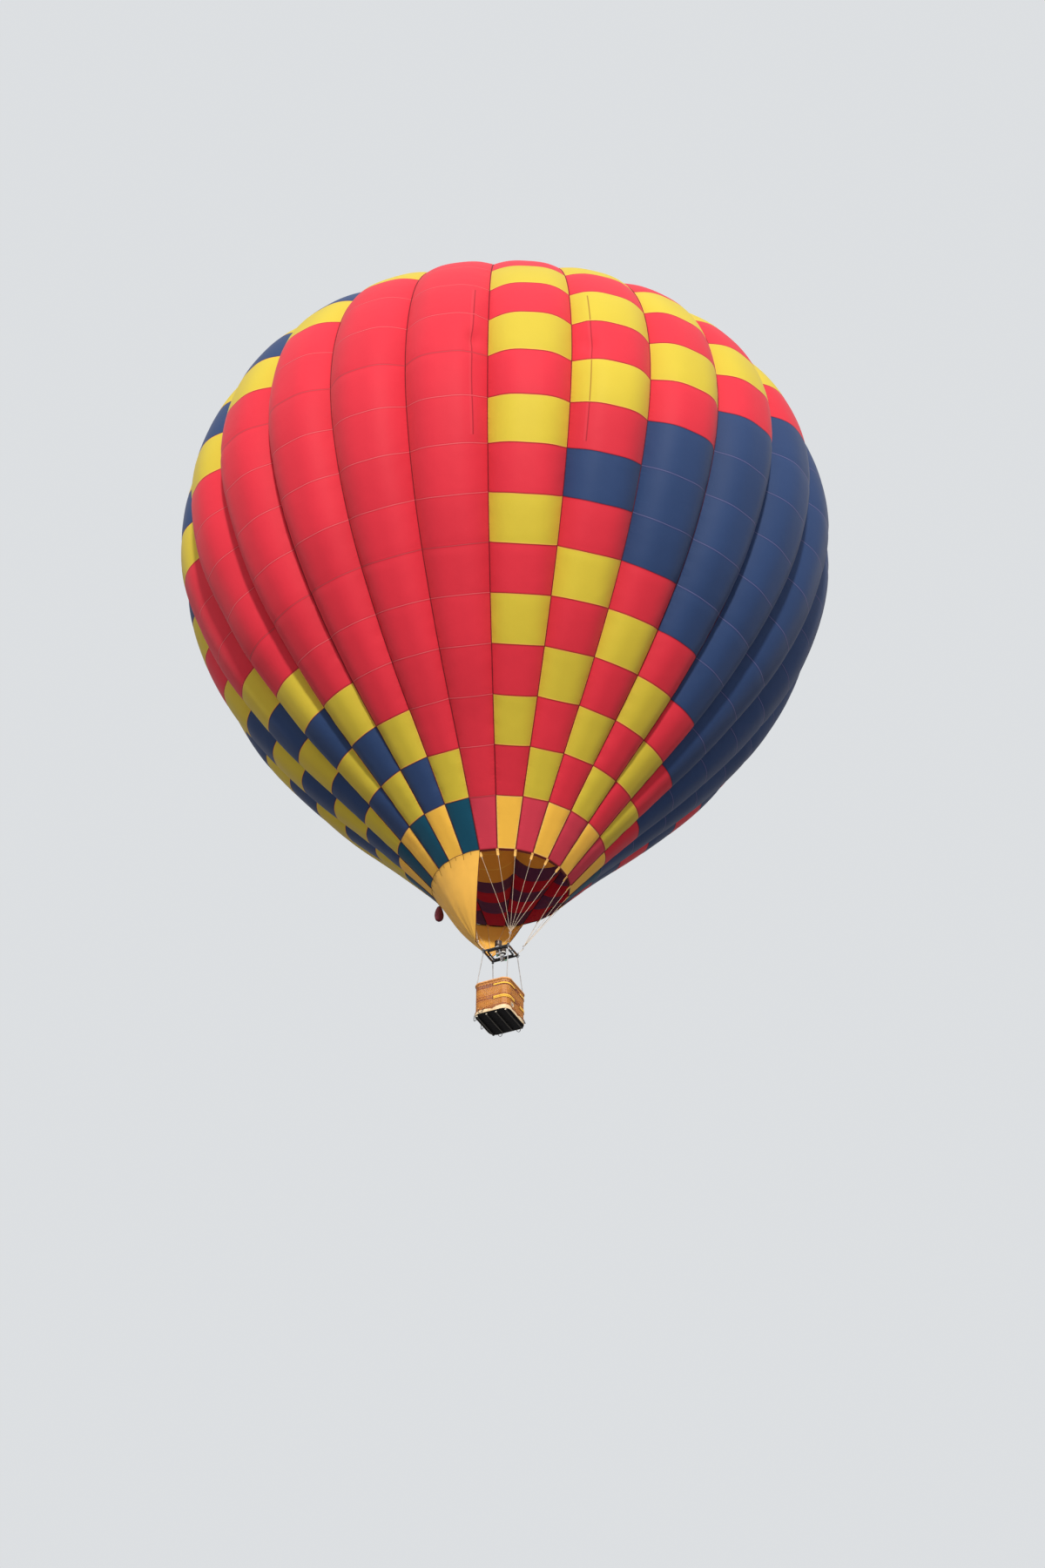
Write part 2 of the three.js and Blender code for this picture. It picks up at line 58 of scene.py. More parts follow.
# Row and slope of the cloth in degrees
MERIDIAN = [(0, 50.9), (3, 48.4), (6, 58.2), (9, 76.9), (12, 108.6), (15, 154.3), (19.4, 180)]
SHELL = 0.010
# Bulge of the cloth as a share of the way between its tapes, a second bulge round the belly,
# and how much flatter the cloth gets between two rows near the top
FULLNESS = 0.245
FULLNESS_SKEW = 0.65
BELLY = 0.07
BELLY_ROW = 9.6
BELLY_SPREAD = 2.9
TIGHTENED = 0.18
TIGHTENED_ROWS = (11.5, 15.5)
RING_TAPE_ROWS = (6, 10)

# Mouth, wires and scoop
MOUTH_BAND = 0.060
WIRES = 6
WIRE_START = MOUTH_BAND + 0.0015
WIRE_RADIUS = 0.0050
SCOOP_GORES = 12
SCOOP_FIRST_TAPE = 11
SCOOP_BILLOW = 0.110
SCOOP_PAST_LINK = 0.042

# Load frame and burner
FRAME_X = 0.790
FRAME_Y = 0.620
TUBE = 0.040
SOCKET_HEIGHT = 0.120
LINK_RISE = 0.260
LINK_OUT = 0.120
LINK_HEIGHT = 0.070
FIT_GAP = 0.0003
BURNER_SPACING = 0.290
CAN_RADIUS = 0.105
CAN_RISE = 0.050
CAN_HEIGHT = 0.255
BLOCK_SIZE = 0.104
BLOCK_DROP = 0.150

# Basket
BASKET_X = 1.100
BASKET_Y = 1.220
BASKET_CORNER = 0.220
RUNNER_STEPS = (-1.5, -0.5, 0.5, 1.5)
RUNNER_SPACING = 0.300
RUNNER_LENGTH = 1.100
WALL = 0.036
STEP_HOLE_Y = -0.280
STEP_HOLE_UP = 0.300
STEP_HOLE = (0.150, 0.120)
TANKS = ("front_right", "back_right", "back_left")

# Corner: side along X, side along Y, first load tape of its wires
CORNERS = {
    "front_right": (1, -1, -1),
    "back_right": (1, 1, 5),
    "back_left": (-1, 1, 11),
    "front_left": (-1, -1, 17),
}


def heights(node):
    low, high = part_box(node)
    return low.z, high.z


def along_gore(row):
    return row * FIRST_ROW if row < 1 else FIRST_ROW + (row - 1) * ROW


def meridian(row):
    """Radius, height over the mouth and slope of the load tape at a row."""
    r = MOUTH_RADIUS
    z = 0.0
    slope = math.radians(MERIDIAN[0][1])
    for (row_a, deg_a), (row_b, deg_b) in zip(MERIDIAN, MERIDIAN[1:]):
        if row <= row_a:
            break
        whole = along_gore(row_b) - along_gore(row_a)
        length = min(along_gore(row) - along_gore(row_a), whole)
        turn = math.radians(deg_b - deg_a) * length / whole
        r += length * (math.sin(slope + turn) - math.sin(slope)) / turn
        z += length * (math.cos(slope) - math.cos(slope + turn)) / turn
        slope += turn
    return r, z, slope


def widest_row():
    for (row_a, deg_a), (row_b, deg_b) in zip(MERIDIAN, MERIDIAN[1:]):
        if deg_b > 90:
            return row_a + (row_b - row_a) * (90 - deg_a) / (deg_b - deg_a)


MOUTH_Z = -meridian(widest_row())[1]
MOUTH_SLOPE = math.radians(MERIDIAN[0][1])
FRAME_MIDDLE = sum(heights("load_frame")) / 2
LINK_Z = FRAME_MIDDLE + TUBE / 2 + LINK_RISE
RIM_BOTTOM, RIM_TOP = heights("basket_rim")
BASKET_BOTTOM = heights("basket_floor")[0]
WALL_BOTTOM, WALL_TOP = heights("basket_wall")
STEP_HOLE_Z = BASKET_BOTTOM + STEP_HOLE_UP


def polar(azimuth, radius, z):
    """Azimuth 0 is -Y and 90 is +X. The radius and z are numbers or grids."""
    angle = math.radians(azimuth)
    return np.stack([radius * math.sin(angle), -radius * math.cos(angle), z], -1)


def tape_azimuth(index):
    return FIRST_TAPE_DEG + GORE_DEG * index


def tape_point(azimuth, row, inwards=0.0):
    r, z, slope = meridian(row)
    return polar(azimuth, r - inwards * math.sin(slope), z + MOUTH_Z + inwards * math.cos(slope))


def unit(v):
    v = np.asarray(v, float)
    return v / np.linalg.norm(v)


def lift(z):
    return np.array([0.0, 0.0, z])


def circle_angles(count):
    return np.linspace(0, 2 * math.pi, count, endpoint=False)


def circle(centre, radius, count):
    """Points of a level circle."""
    return [centre + radius * np.array([math.cos(a), math.sin(a), 0]) for a in circle_angles(count)]


def directions(path, closed):
    tangents = np.roll(path, -1, 0) - np.roll(path, 1, 0) if closed else np.gradient(path, axis=0)
    return tangents / (np.linalg.norm(tangents, axis=1)[:, None] + 1e-12)


def smooth(value, low, high):
    t = np.clip((value - low) / (high - low), 0, 1)
    return t * t * (3 - 2 * t)


def waves(count, seed, long=1.0):
    """A smooth random function of two lengths, from a few sines."""
    rng = np.random.default_rng(seed)
    ways = rng.uniform(-1, 1, (count, 2)) * 2 * math.pi / long
    turns = rng.uniform(0, 2 * math.pi, count)
    return lambda x, y: sum(np.sin(a * x + b * y + t) for (a, b), t in zip(ways, turns)) / math.sqrt(count)


# Mesh making

class Shape:
    """Gathers points and faces, with a material index and a tone for each face."""

    def __init__(self):
        self.points = []
        self.faces = []
        self.indices = []
        self.tones = []

    def add(self, points, faces, index=0, tone=0.5):
        base = len(self.points)
        self.points.extend(tuple(float(x) for x in p) for p in points)
        self.faces.extend(tuple(base + i for i in face) for face in faces)
        self.indices.extend([index] * len(faces))
        self.tones.extend([tone] * len(faces))

    def skin(self, rings, index=0, tone=0.5, closed=False, turned=False):
        """Faces between each ring of points and the next, and over the ends unless they close."""
        rings = np.asarray(rings, float)
        count, sides = rings.shape[:2]
        faces = []
        for i in range(count if closed else count - 1):
            a, b = i * sides, (i + 1) % count * sides
            for j in range(sides):
                k = (j + 1) % sides
                faces.append((a + j, b + j, b + k, a + k))
        if not closed:
            faces.append(tuple(range(sides)))
            faces.append(tuple(reversed(range((count - 1) * sides, count * sides))))
        if turned:
            faces = [face[:1] + face[:0:-1] for face in faces]
        self.add(rings.reshape(-1, 3), faces, index, tone)

    def tube(self, path, radius, sides=8, index=0, tone=0.5, closed=False, flat=1.0, up=None):
        """A round bar along a path. flat scales the section along the second axis."""
        path = np.asarray(path, float)
        tangents = directions(path, closed)
        normal = np.cross(tangents[0], (0, 0, 1) if up is None else up)
        if np.linalg.norm(normal) < 1e-3:
            normal = np.cross(tangents[0], (0, 1, 0))
        angles = circle_angles(sides)
        rings = []
        for p, t, r in zip(path, tangents, np.broadcast_to(radius, len(path))):
            if up is not None:
                normal = np.cross(t, up)
            normal = unit(normal - t * (normal @ t))
            second = np.cross(t, normal)
            ring = np.outer(np.cos(angles), normal) + flat * np.outer(np.sin(angles), second)
            rings.append(p + r * ring)
        self.skin(rings, index, tone, closed)

    def ribbon(self, path, ups, width, thickness, index=0, tone=0.5, closed=False):
        """A flat strip along a path. ups are its face normals."""
        path = np.asarray(path, float)
        rings = []
        for p, t, n in zip(path, directions(path, closed), np.broadcast_to(ups, path.shape)):
            side = unit(np.cross(t, n)) * width / 2
            out = unit(np.cross(side, t)) * thickness / 2
            edge = side * 0.93
            offsets = (-side, out - edge, edge + out, side, edge - out, -edge - out)
            rings.append([p + offset for offset in offsets])
        self.skin(rings, index, tone, closed, turned=True)

    def lathe(self, profile, centre, sides=32, index=0, tone=0.5, axis=(0, 0, 1)):
        """Turns a closed profile of (radius, height) round an axis through centre."""
        axis = unit(axis)
        first = unit(np.cross(axis, (1, 0, 0) if abs(axis[0]) < 0.9 else (0, 1, 0)))
        second = np.cross(axis, first)
        ways = [first * math.cos(a) + second * math.sin(a) for a in circle_angles(sides)]
        rings = [[np.asarray(centre) + way * r + axis * h for r, h in profile] for way in ways]
        self.skin(rings, index, tone, closed=True)

    def block(self, centre, size, bevel, index=0, tone=0.5):
        """A box with bevelled edges."""
        half = np.asarray(size, float) / 2
        rings = []
        for z, shrink in ((-half[2], bevel), (-half[2] + bevel, 0), (half[2] - bevel, 0), (half[2], bevel)):
            x, y = half[0] - shrink, half[1] - shrink
            cut = bevel if shrink == 0 else bevel * 0.5
            ring = [(x, -y + cut), (x, y - cut), (x - cut, y), (-x + cut, y)]
            ring += [(-x, y - cut), (-x, -y + cut), (-x + cut, -y), (x - cut, -y)]
            rings.append([np.asarray(centre) + (px, py, z) for px, py in ring])
        self.skin(rings, index, tone, turned=True)

    def make(self, name, materials, body="root", replaces=()):
        mesh = bpy.data.meshes.new(name)
        mesh.from_pydata(self.points, [], self.faces)
        for material in materials:
            mesh.materials.append(material)
        mesh.polygons.foreach_set("material_index", self.indices)
        mesh.polygons.foreach_set("use_smooth", [True] * len(self.faces))
        give_values(mesh, "tone", "FACE", self.tones)
        piece = add_piece(name, mesh, body, replaces)
        mesh.set_sharp_from_angle(angle=math.radians(40))
        return piece


def give_values(mesh, name, domain, values):
    """Stores one number for each point or face."""
    attribute = mesh.attributes.new(name, "FLOAT", domain)
    attribute.data.foreach_set("value", np.asarray(values, np.float32).ravel())


def add_piece(name, mesh, body, replaces):
    mesh.update()
    piece = bpy.data.objects.new(name, mesh)
    bpy.context.scene.collection.objects.link(piece)
    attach(piece, body)
    if replaces:
        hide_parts(*replaces)
    return piece


# Materials

def linear(colour):
    """Linear colour from 0-255 display values."""
    shares = [c / 255 for c in colour]
    return [s / 12.92 if s <= 0.04045 else ((s + 0.055) / 1.055) ** 2.4 for s in shares] + [1]


class Finish:
    """A material under construction: short names for the nodes that are used often."""

    def __init__(self, name, roughness, metallic=0.0, sheen=0.0, specular=0.5):
        self.material = bpy.data.materials.new(name)
        self.material.use_nodes = True
        self.tree = self.material.node_tree
        self.shader = self.tree.nodes["Principled BSDF"]
        self.normal = None
        self.set_shader("Roughness", roughness)
        self.set_shader("Metallic", metallic)
        self.set_shader("Sheen Weight", sheen)
        self.set_shader("Specular IOR Level", specular)

    def set_shader(self, name, value):
        self.give(self.shader.inputs[name], value)

    def give(self, socket, value):
        if isinstance(value, bpy.types.NodeSocket):
            self.tree.links.new(value, socket)
        else:
            socket.default_value = value

    def node(self, kind, values=None, **settings):
        made = self.tree.nodes.new("ShaderNode" + kind)
        for key, value in settings.items():
            setattr(made, key, value)
        for key, value in (values or {}).items():
            self.give(made.inputs[key], value)
        return made

    def math(self, operation, first, second=0.0):
        return self.node("Math", {0: first, 1: second}, operation=operation).outputs[0]

    def mix(self, factor, first, second, blend="MIX"):
        values = {0: factor, 6: first, 7: second}
        return self.node("Mix", values, data_type="RGBA", blend_type=blend).outputs[2]

    def place(self):
        return self.node("TexCoord").outputs["Object"]

    def attribute(self, name):
        return self.node("Attribute", attribute_name=name).outputs["Fac"]

    def noise(self, scale, detail=3.0, place=None, stretch=None):
        place = place or self.place()
        if stretch:
            place = self.node("Mapping", {"Vector": place, "Scale": stretch}).outputs[0]
        return self.node("TexNoise", {"Vector": place, "Scale": scale, "Detail": detail}).outputs["Fac"]

    def wave(self, scale, direction, place=None):
        values = {"Vector": place or self.place(), "Scale": scale}
        return self.node("TexWave", values, bands_direction=direction).outputs["Fac"]

    def span(self, value, low, high, out_low=0.0, out_high=1.0):
        values = {"Value": value, "From Min": low, "From Max": high, "To Min": out_low, "To Max": out_high}
        return self.node("MapRange", values, clamp=True).outputs[0]

    def shade(self, colour, low, high, value):
        """The colour made darker or lighter by a value from 0 to 1."""
        grey = self.span(value, 0.0, 1.0, low, high)
        made = self.node("CombineColor", {"Red": grey, "Green": grey, "Blue": grey})
        return self.mix(1.0, colour, made.outputs[0], "MULTIPLY")

    def bump(self, height, distance, strength):
        values = {"Height": height, "Strength": strength, "Distance": distance}
        if self.normal:
            values["Normal"] = self.normal
        self.normal = self.node("Bump", values).outputs[0]

    def done(self, colour, translucent=0.0):
        self.set_shader("Base Color", colour)
        if self.normal:
            self.set_shader("Normal", self.normal)
        if translucent:
            values = {"Color": colour, "Normal": self.normal}
            through = self.node("BsdfTranslucent", values).outputs[0]
            both = self.node("MixShader", {0: translucent, 1: self.shader.outputs[0], 2: through})
            self.give(self.tree.nodes["Material Output"].inputs[0], both.outputs[0])
        return self.material


# How far from a seam or slit its marks are full, and where they end
STITCH_AND_SHADE_LINE = (0.009, 0.017)
DOUBLE_CLOTH = (0.028, 0.046)
SLIT_LINE = (0.010, 0.026)
FLAP_EDGE = (-0.085, -0.080)
NEAR_TAPE = 0.30


def cloth(name, colour, inside, border, pale, line_colour, translucent, roughness=0.62, border_share=0.55):
    """Ripstop cloth with sewn edges. border is the double cloth at a seam, pale a seam of like colours,
    inside the inner side's colour darkened as painted shade, and line_colour the dark line of a slit or of
    stitches with painted shade beside a seam.
    """
    colour, inside, border, pale, line_colour = map(linear, (colour, inside, border, pale, line_colour))
    f = Finish(name, roughness, sheen=0.08, specular=0.20)
    place = f.node("UVMap", uv_map="cloth").outputs[0]
    tone = f.math("MULTIPLY", f.math("ADD", f.attribute("tone"), f.noise(0.45, 4.0, place)), 0.5)
    # Back faces take the darker inside colour, painted shade of the envelope's inside
    inner_face = f.node("NewGeometry").outputs["Backfacing"]
    ground = f.shade(f.mix(inner_face, colour, inside), 0.86, 1.12, tone)
    # A turning vent's flap and slit
    slit = f.attribute("slit")
    flap = f.math("MULTIPLY", f.span(slit, *FLAP_EDGE), f.span(slit, 0.0, 0.012, 0.10, 0.0))
    ground = f.mix(flap, ground, pale)
    cut = f.span(f.math("ABSOLUTE", slit), *SLIT_LINE, 0.6, 0.0)
    ground = f.mix(cut, ground, line_colour)
    # Double cloth beside a seam, and a dark line of stitches and painted shade of the seam's valley, paler
    # where like colours meet
    side = f.attribute("seam_side")
    row = f.attribute("seam_row")
    nearest = f.math("MINIMUM", side, row)
    ground = f.mix(f.span(nearest, *DOUBLE_CLOTH, border_share, 0.0), ground, border)
    for distance, same in ((side, "same_side"), (row, "same_row")):
        line = f.span(distance, *STITCH_AND_SHADE_LINE, 0.85, 0.0)
        ground = f.mix(line, ground, f.mix(f.attribute(same), line_colour, pale))
    f.bump(f.math("ADD", f.wave(330.0, "X", place), f.wave(330.0, "Y", place)), 0.0004, 0.25)
    f.bump(f.noise(1.1, 3.0, place), 0.05, 0.35)
    puckers = f.noise(5.0, 2.0, place, (1.0, 2.6, 1.0))
    f.bump(f.math("MULTIPLY", puckers, f.span(side, 0.0, NEAR_TAPE, 1.0, 0.0)), 0.030, 0.35)
    f.bump(f.span(nearest, 0.0, 0.018, 1.0, 0.0), 0.003, 0.8)
    return f.done(ground, translucent)


def plain_cloth(name, colour, scale, translucent=0.0, roughness=0.75, folds=0.01):
    f = Finish(name, roughness, sheen=0.06)
    tone = f.math("ADD", f.noise(1.6, 5.0), f.attribute("tone"))
    ground = f.shade(linear(colour), 0.78, 1.18, f.math("MULTIPLY", tone, 0.5))
    f.bump(f.math("ADD", f.wave(scale, "X"), f.wave(scale, "Z")), 0.0006, 0.5)
    f.bump(f.noise(5.0, 4.0), folds, 0.5)
    return f.done(ground, translucent)


def webbing(name, colour):
    f = Finish(name, 0.8, sheen=0.04, specular=0.15)
    ground = f.shade(linear(colour), 0.7, 1.25, f.noise(30.0, 3.0))
    f.bump(f.wave(260.0, "DIAGONAL"), 0.0008, 0.7)
    return f.done(ground)


def metal(name, colour, roughness, worn=0.25, scale=30.0):
    f = Finish(name, roughness, 1.0)
    streaks = f.noise(scale, 6.0, stretch=(1.0, 1.0, 0.12))
    ground = f.shade(linear(colour), 1.0 - worn, 1.0 + worn * 0.5, streaks)
    f.set_shader("Roughness", f.span(streaks, 0.2, 0.8, roughness * 0.75, roughness * 1.35))
    f.bump(f.noise(scale * 9, 3.0), 0.0004, 0.35)
    return f.done(ground)


def paint(name, colour, wear, roughness=0.42):
    """Satin paint with rubbed patches."""
    f = Finish(name, roughness)
    rubbed = f.span(f.noise(24.0, 8.0), 0.60, 0.72)
    ground = f.mix(rubbed, f.shade(linear(colour), 0.8, 1.3, f.noise(6.0)), linear(wear))
    f.set_shader("Roughness", f.span(f.noise(11.0), 0.2, 0.8, roughness * 0.8, roughness * 1.4))
    f.bump(f.noise(300.0, 2.0), 0.0003, 0.3)
    return f.done(ground)


def leather(name, colour, dark, scale=60.0, roughness=0.68):
    f = Finish(name, roughness)
    grain = f.node("TexVoronoi", {"Vector": f.place(), "Scale": scale * 6}).outputs["Distance"]
    shaded = f.shade(linear(colour), 0.8, 1.15, f.noise(scale, 3.0))
    ground = f.mix(f.span(f.noise(7.0, 6.0), 0.42, 0.75), shaded, linear(dark))
    f.bump(grain, 0.0012, 0.5)
    f.bump(f.noise(14.0, 4.0), 0.006, 0.5)
    return f.done(ground)


def willow(name, colour, dark):
    """Peeled, varnished willow: streaks along the rod, some faces and patches darker."""
    f = Finish(name, 0.45)
    streak = f.noise(120.0, 4.0, stretch=(1.0, 1.0, 2.5))
    ground = f.mix(f.span(f.attribute("tone"), 0.1, 0.95, 0.0, 0.85), linear(colour), linear(dark))
    ground = f.shade(ground, 0.72, 1.22, streak)
    patches = f.noise(5.0, 4.0, stretch=(1.0, 1.0, 2.2))
    ground = f.mix(f.span(patches, 0.42, 0.66, 0.0, 0.45), ground, linear(dark))
    ground = f.shade(ground, 0.84, 1.14, f.noise(2.0, 3.0))
    f.bump(streak, 0.001, 0.5)
    f.set_shader("Coat Weight", 0.25)
    f.set_shader("Coat Roughness", 0.35)
    return f.done(ground)


PALE_PINK = (234, 104, 112)
PALE_BLUE = (92, 98, 142)
ORANGE_CREAM = (244, 186, 84)
# The inner side's colours are darker and warmer: painted shade of the envelope's dim inside
RED_INSIDE_SHADED = (170, 20, 44)
YELLOW_INSIDE_SHADED = (222, 158, 60)
BLUE_INSIDE_SHADED = (84, 50, 88)
# Dark lines of slits and seams; beside a seam they are partly painted shade of its valley
RED_LINE = (136, 14, 30)
BLUE_LINE = (22, 28, 52)
# The lowest row is of heat-proof cloth
CLOTHS = {
    "red": cloth("red_cloth", (226, 50, 68), RED_INSIDE_SHADED, (200, 26, 48), PALE_PINK, RED_LINE, 0.26),
    "yellow": cloth("yellow_cloth", (218, 198, 62), YELLOW_INSIDE_SHADED, ORANGE_CREAM, (216, 206, 84),
                    RED_LINE, 0.26, border_share=0.9),
    "blue": cloth("blue_cloth", (42, 66, 109), BLUE_INSIDE_SHADED, (40, 50, 96), PALE_BLUE, BLUE_LINE, 0.18),
    "first_yellow": cloth("mustard_cloth", (252, 196, 74), YELLOW_INSIDE_SHADED, (246, 200, 112), ORANGE_CREAM,
                          RED_LINE, 0.18, 0.75, 0.8),
    "first_red": cloth("dull_red_cloth", (212, 60, 80), RED_INSIDE_SHADED, (170, 34, 48), PALE_PINK,
                       RED_LINE, 0.22, 0.75),
    "first_blue": cloth("teal_cloth", (4, 72, 96), BLUE_INSIDE_SHADED, (12, 50, 72), PALE_BLUE,
                        BLUE_LINE, 0.12, 0.75),
}
CLOTH_ORDER = list(CLOTHS)
TAPE = webbing("dark_webbing", (84, 22, 26))
MOUTH_TAPE = webbing("mouth_webbing", (76, 22, 14))
SLEEVE = webbing("pale_webbing", (244, 190, 104))
TIE = webbing("tie_webbing", (150, 112, 36))
STRAP_YELLOW = webbing("yellow_webbing", (236, 182, 72))
NOMEX = plain_cloth("heatproof_cloth", (240, 184, 76), 300.0, 0.12, 0.8, 0.008)
BAG = plain_cloth("bag_cloth", (112, 26, 44), 220.0)
STEEL = metal("brushed_steel", (190, 192, 196), 0.32)
BRASS = metal("brass", (196, 156, 84), 0.3)
HOT_STEEL = metal("heat_stained_steel", (92, 82, 76), 0.42, 0.5, 14.0)
ALUMINIUM = metal("tank_alloy", (190, 194, 198), 0.36, 0.15, 12.0)
WIRE = paint("wire_rope", (204, 188, 164), (160, 148, 132), 0.5)
BLACK_PAINT = paint("dark_tube", (34, 36, 40), (92, 94, 98))
GREEN_PAINT = paint("green_grip", (40, 130, 80), (90, 160, 120), 0.5)
WHITE_PAINT = paint("white_grip", (225, 225, 220), (180, 180, 176), 0.5)
PLYWOOD = paint("plywood", (26, 24, 24), (44, 40, 36), 0.6)
RUNNER_EDGE = paint("runner_edge", (206, 198, 178), (140, 132, 116), 0.6)
WEAR_STRIP = paint("wear_strip", (104, 100, 90), (60, 56, 50), 0.6)
SLEEVE_LEATHER = leather("sleeve_leather", (66, 36, 34), (40, 22, 20))
HIDE = leather("pale_hide", (222, 200, 162), (190, 160, 116), 40.0, 0.75)
RIM_LEATHER = leather("tan_leather", (224, 162, 96), (184, 116, 60), 50.0)
LACE = leather("dark_lace", (92, 34, 24), (52, 22, 16), 30.0)
ROPE = leather("dark_rope", (52, 40, 34), (28, 24, 22), 90.0)
PALE_SUEDE = leather("pale_suede", (168, 166, 164), (130, 130, 132), 50.0)
WICKER = willow("wicker", (206, 142, 52), (176, 104, 34))
WICKER_DARK = willow("wicker_dark", (158, 70, 26), (110, 40, 18))

# Gores

CYCLE = ["blue", "red", "yellow"]
FIELDS = ["blue", "yellow", "red"]
FIELD_GORES = 8
MIDDLE_ROW = 8  # where each field is widest
ALONG = 12  # steps a row
ACROSS = 20
CROWDING = 1.25  # how much closer the steps across are near the tapes
SECTION_POWER = 2.8
# The row seams hang a little lower on the cloth's belly than at its tapes
BELLY_LAG = 0.13
TAPE_LAG = 0.09
# How pale the seam between two panels of one colour is
LIKE_SEAM = {"red": 0.92, "yellow": 0.8, "blue": 0.9}
RING_SEAM = {"red": 0.45, "yellow": 0.5, "blue": 1.0}
LIKE_SIDE = 0.25
# Turning vents: gore, and the flap's low side, slit and high side as shares across
TURNING_VENTS = {23: (0.775, 0.785, 0.845), 1: (0.185, 0.240, 0.255)}
SLIT_ROWS = (8.1, 11.9)
PUCKER_ROW = 10.35
FAR = 9.0  # past every seam's or slit's line
LINE_ROWS = np.linspace(0, 19.3, 1931)
LINE = np.array([meridian(row) for row in LINE_ROWS])


def panel_colour(index, row):
    """Colour of a gore's panel: three fields whose edges step towards each other."""
    field, k = divmod(index % GORES, FIELD_GORES)
    own = FIELDS[field]
    away = abs(row - MIDDLE_ROW) - (k - 1)
    if k == FIELD_GORES - 1 or away <= 0:
        return own
    turn = 1 if away % 2 else 2
    return CYCLE[(CYCLE.index(own) + turn) % 3]


def fullness(rows):
    swell = FULLNESS * np.sin(math.pi * np.clip(rows / GORE_ROWS, 0, 1) ** FULLNESS_SKEW)
    ends = np.clip(np.minimum(rows, GORE_ROWS - rows), 0, 1)
    belly = BELLY * ends * np.exp(-(((rows - BELLY_ROW) / BELLY_SPREAD) ** 2))
    return (swell + belly) * (1 - TIGHTENED * smooth(rows, *TIGHTENED_ROWS))


def hill(distance, width):
    return np.exp(-((distance / width) ** 2))


def vent_push(index, rows, shares, width):
    """A turning vent's flap stands out a little, and its slit draws the cloth in at a pucker."""
    low, _, high = TURNING_VENTS[index]
    start, end = SLIT_ROWS
    inner = np.clip((shares - low) / 0.03, 0, 1) * np.clip((high - shares) / 0.03, 0, 1)
    fade = np.clip((rows - start + 0.2) / 0.5, 0, 1) * np.clip((end + 0.2 - rows) / 0.5, 0, 1)
    from_slit = np.abs(shares - (low + high) / 2) * width
    pucker = 0.16 * hill((rows - PUCKER_ROW) * ROW, 0.30) * np.exp(-from_slit / 0.16)
    crease = 0.05 * hill((rows - PUCKER_ROW + 0.9) * ROW, 0.9) * np.exp(-from_slit / 0.12)
    return 0.03 * inner * fade - pucker - crease


def gore_grid(index, inset):
    """Points of a gore's cloth, its distances to the seams and slit, and its cloth lengths."""
    row_steps = np.linspace(0, GORE_ROWS, GORE_ROWS * ALONG + 1)
    rows, shares = np.meshgrid(row_steps, np.linspace(0, 1, ACROSS + 1), indexing="ij")
    ends = np.clip((GORE_ROWS - rows) / 3, 0, 1)
    lag = BELLY_LAG * smooth(rows, 4.5, 7.5) * 4 * shares * (1 - shares) + TAPE_LAG * smooth(rows, 8, 11)
    place_row = rows - lag * ends / ROW
    r, z, slope = (np.interp(place_row, LINE_ROWS, LINE[:, k]) for k in range(3))
    radius, height = r - inset * np.sin(slope), z + MOUTH_Z + inset * np.cos(slope)
    left = polar(tape_azimuth(index), radius, height)
    right = polar(tape_azimuth(index + 1), radius, height)
    chord = np.linalg.norm(right - left, axis=-1)
    full = fullness(place_row)
    steps = np.sin((2 * shares - 1) * CROWDING) / math.sin(CROWDING)
    place = 0.5 + 0.5 * steps
    over = full * chord * (1 - np.abs(steps) ** SECTION_POWER)
    lean = 2 * full * SECTION_POWER * np.abs(steps) ** (SECTION_POWER - 1) * np.sign(steps)
    flat = np.stack([place * chord, over], -1)
    lengths = np.linalg.norm(np.diff(flat, axis=1), axis=-1).cumsum(1)
    lengths = np.concatenate([np.zeros((len(lengths), 1)), lengths], 1)
    width = lengths[:, -1:]
    across = lengths - width / 2
    gap = width / 2 - np.abs(across)
    along = np.vectorize(along_gore)(rows)
    nearest = np.minimum(np.round(rows), GORE_ROWS)
    to_row = np.abs(along - np.vectorize(along_gore)(nearest))

    # Ring tapes draw the cloth in, the cloth waves slowly, and the load tapes gather it
    tight = np.where(np.isin(nearest, RING_TAPE_ROWS), 0.014, 0.004)
    push = -tight * hill(to_row, 0.12) * np.minimum(1, gap / 0.3)
    push += 0.012 * waves(7, 100 + index, 3.0)(across, along) * np.minimum(1, gap / 0.4)
    gather = waves(9, 200 + index, 0.42)(across * 0.25, along)
    push += 0.011 * gather * np.exp(-gap / 0.16) * np.minimum(1, gap / 0.05)
    slit = np.full(rows.shape, FAR)
    if index in TURNING_VENTS:
        push += vent_push(index, rows, shares, width)
        beside = (shares - TURNING_VENTS[index][1]) * width
        slit = np.where((rows >= SLIT_ROWS[0]) & (rows <= SLIT_ROWS[1]), beside, FAR)
    push *= np.clip(rows / 0.6, 0, 1) * np.clip((GORE_ROWS - rows) / 0.4, 0, 1)

    middle = tape_azimuth(index + 0.5)
    outwards = polar(middle, np.sin(slope), -np.cos(slope))
    sideways = polar(middle + 90, 1, 0)
    normals = outwards + np.clip(lean, -2.5, 2.5)[..., None] * sideways
    normals /= np.linalg.norm(normals, axis=-1)[..., None]
    points = left + (right - left) * place[..., None]
    points += outwards * over[..., None] + normals * push[..., None]
    return points, (gap, to_row, slit), (across, along)


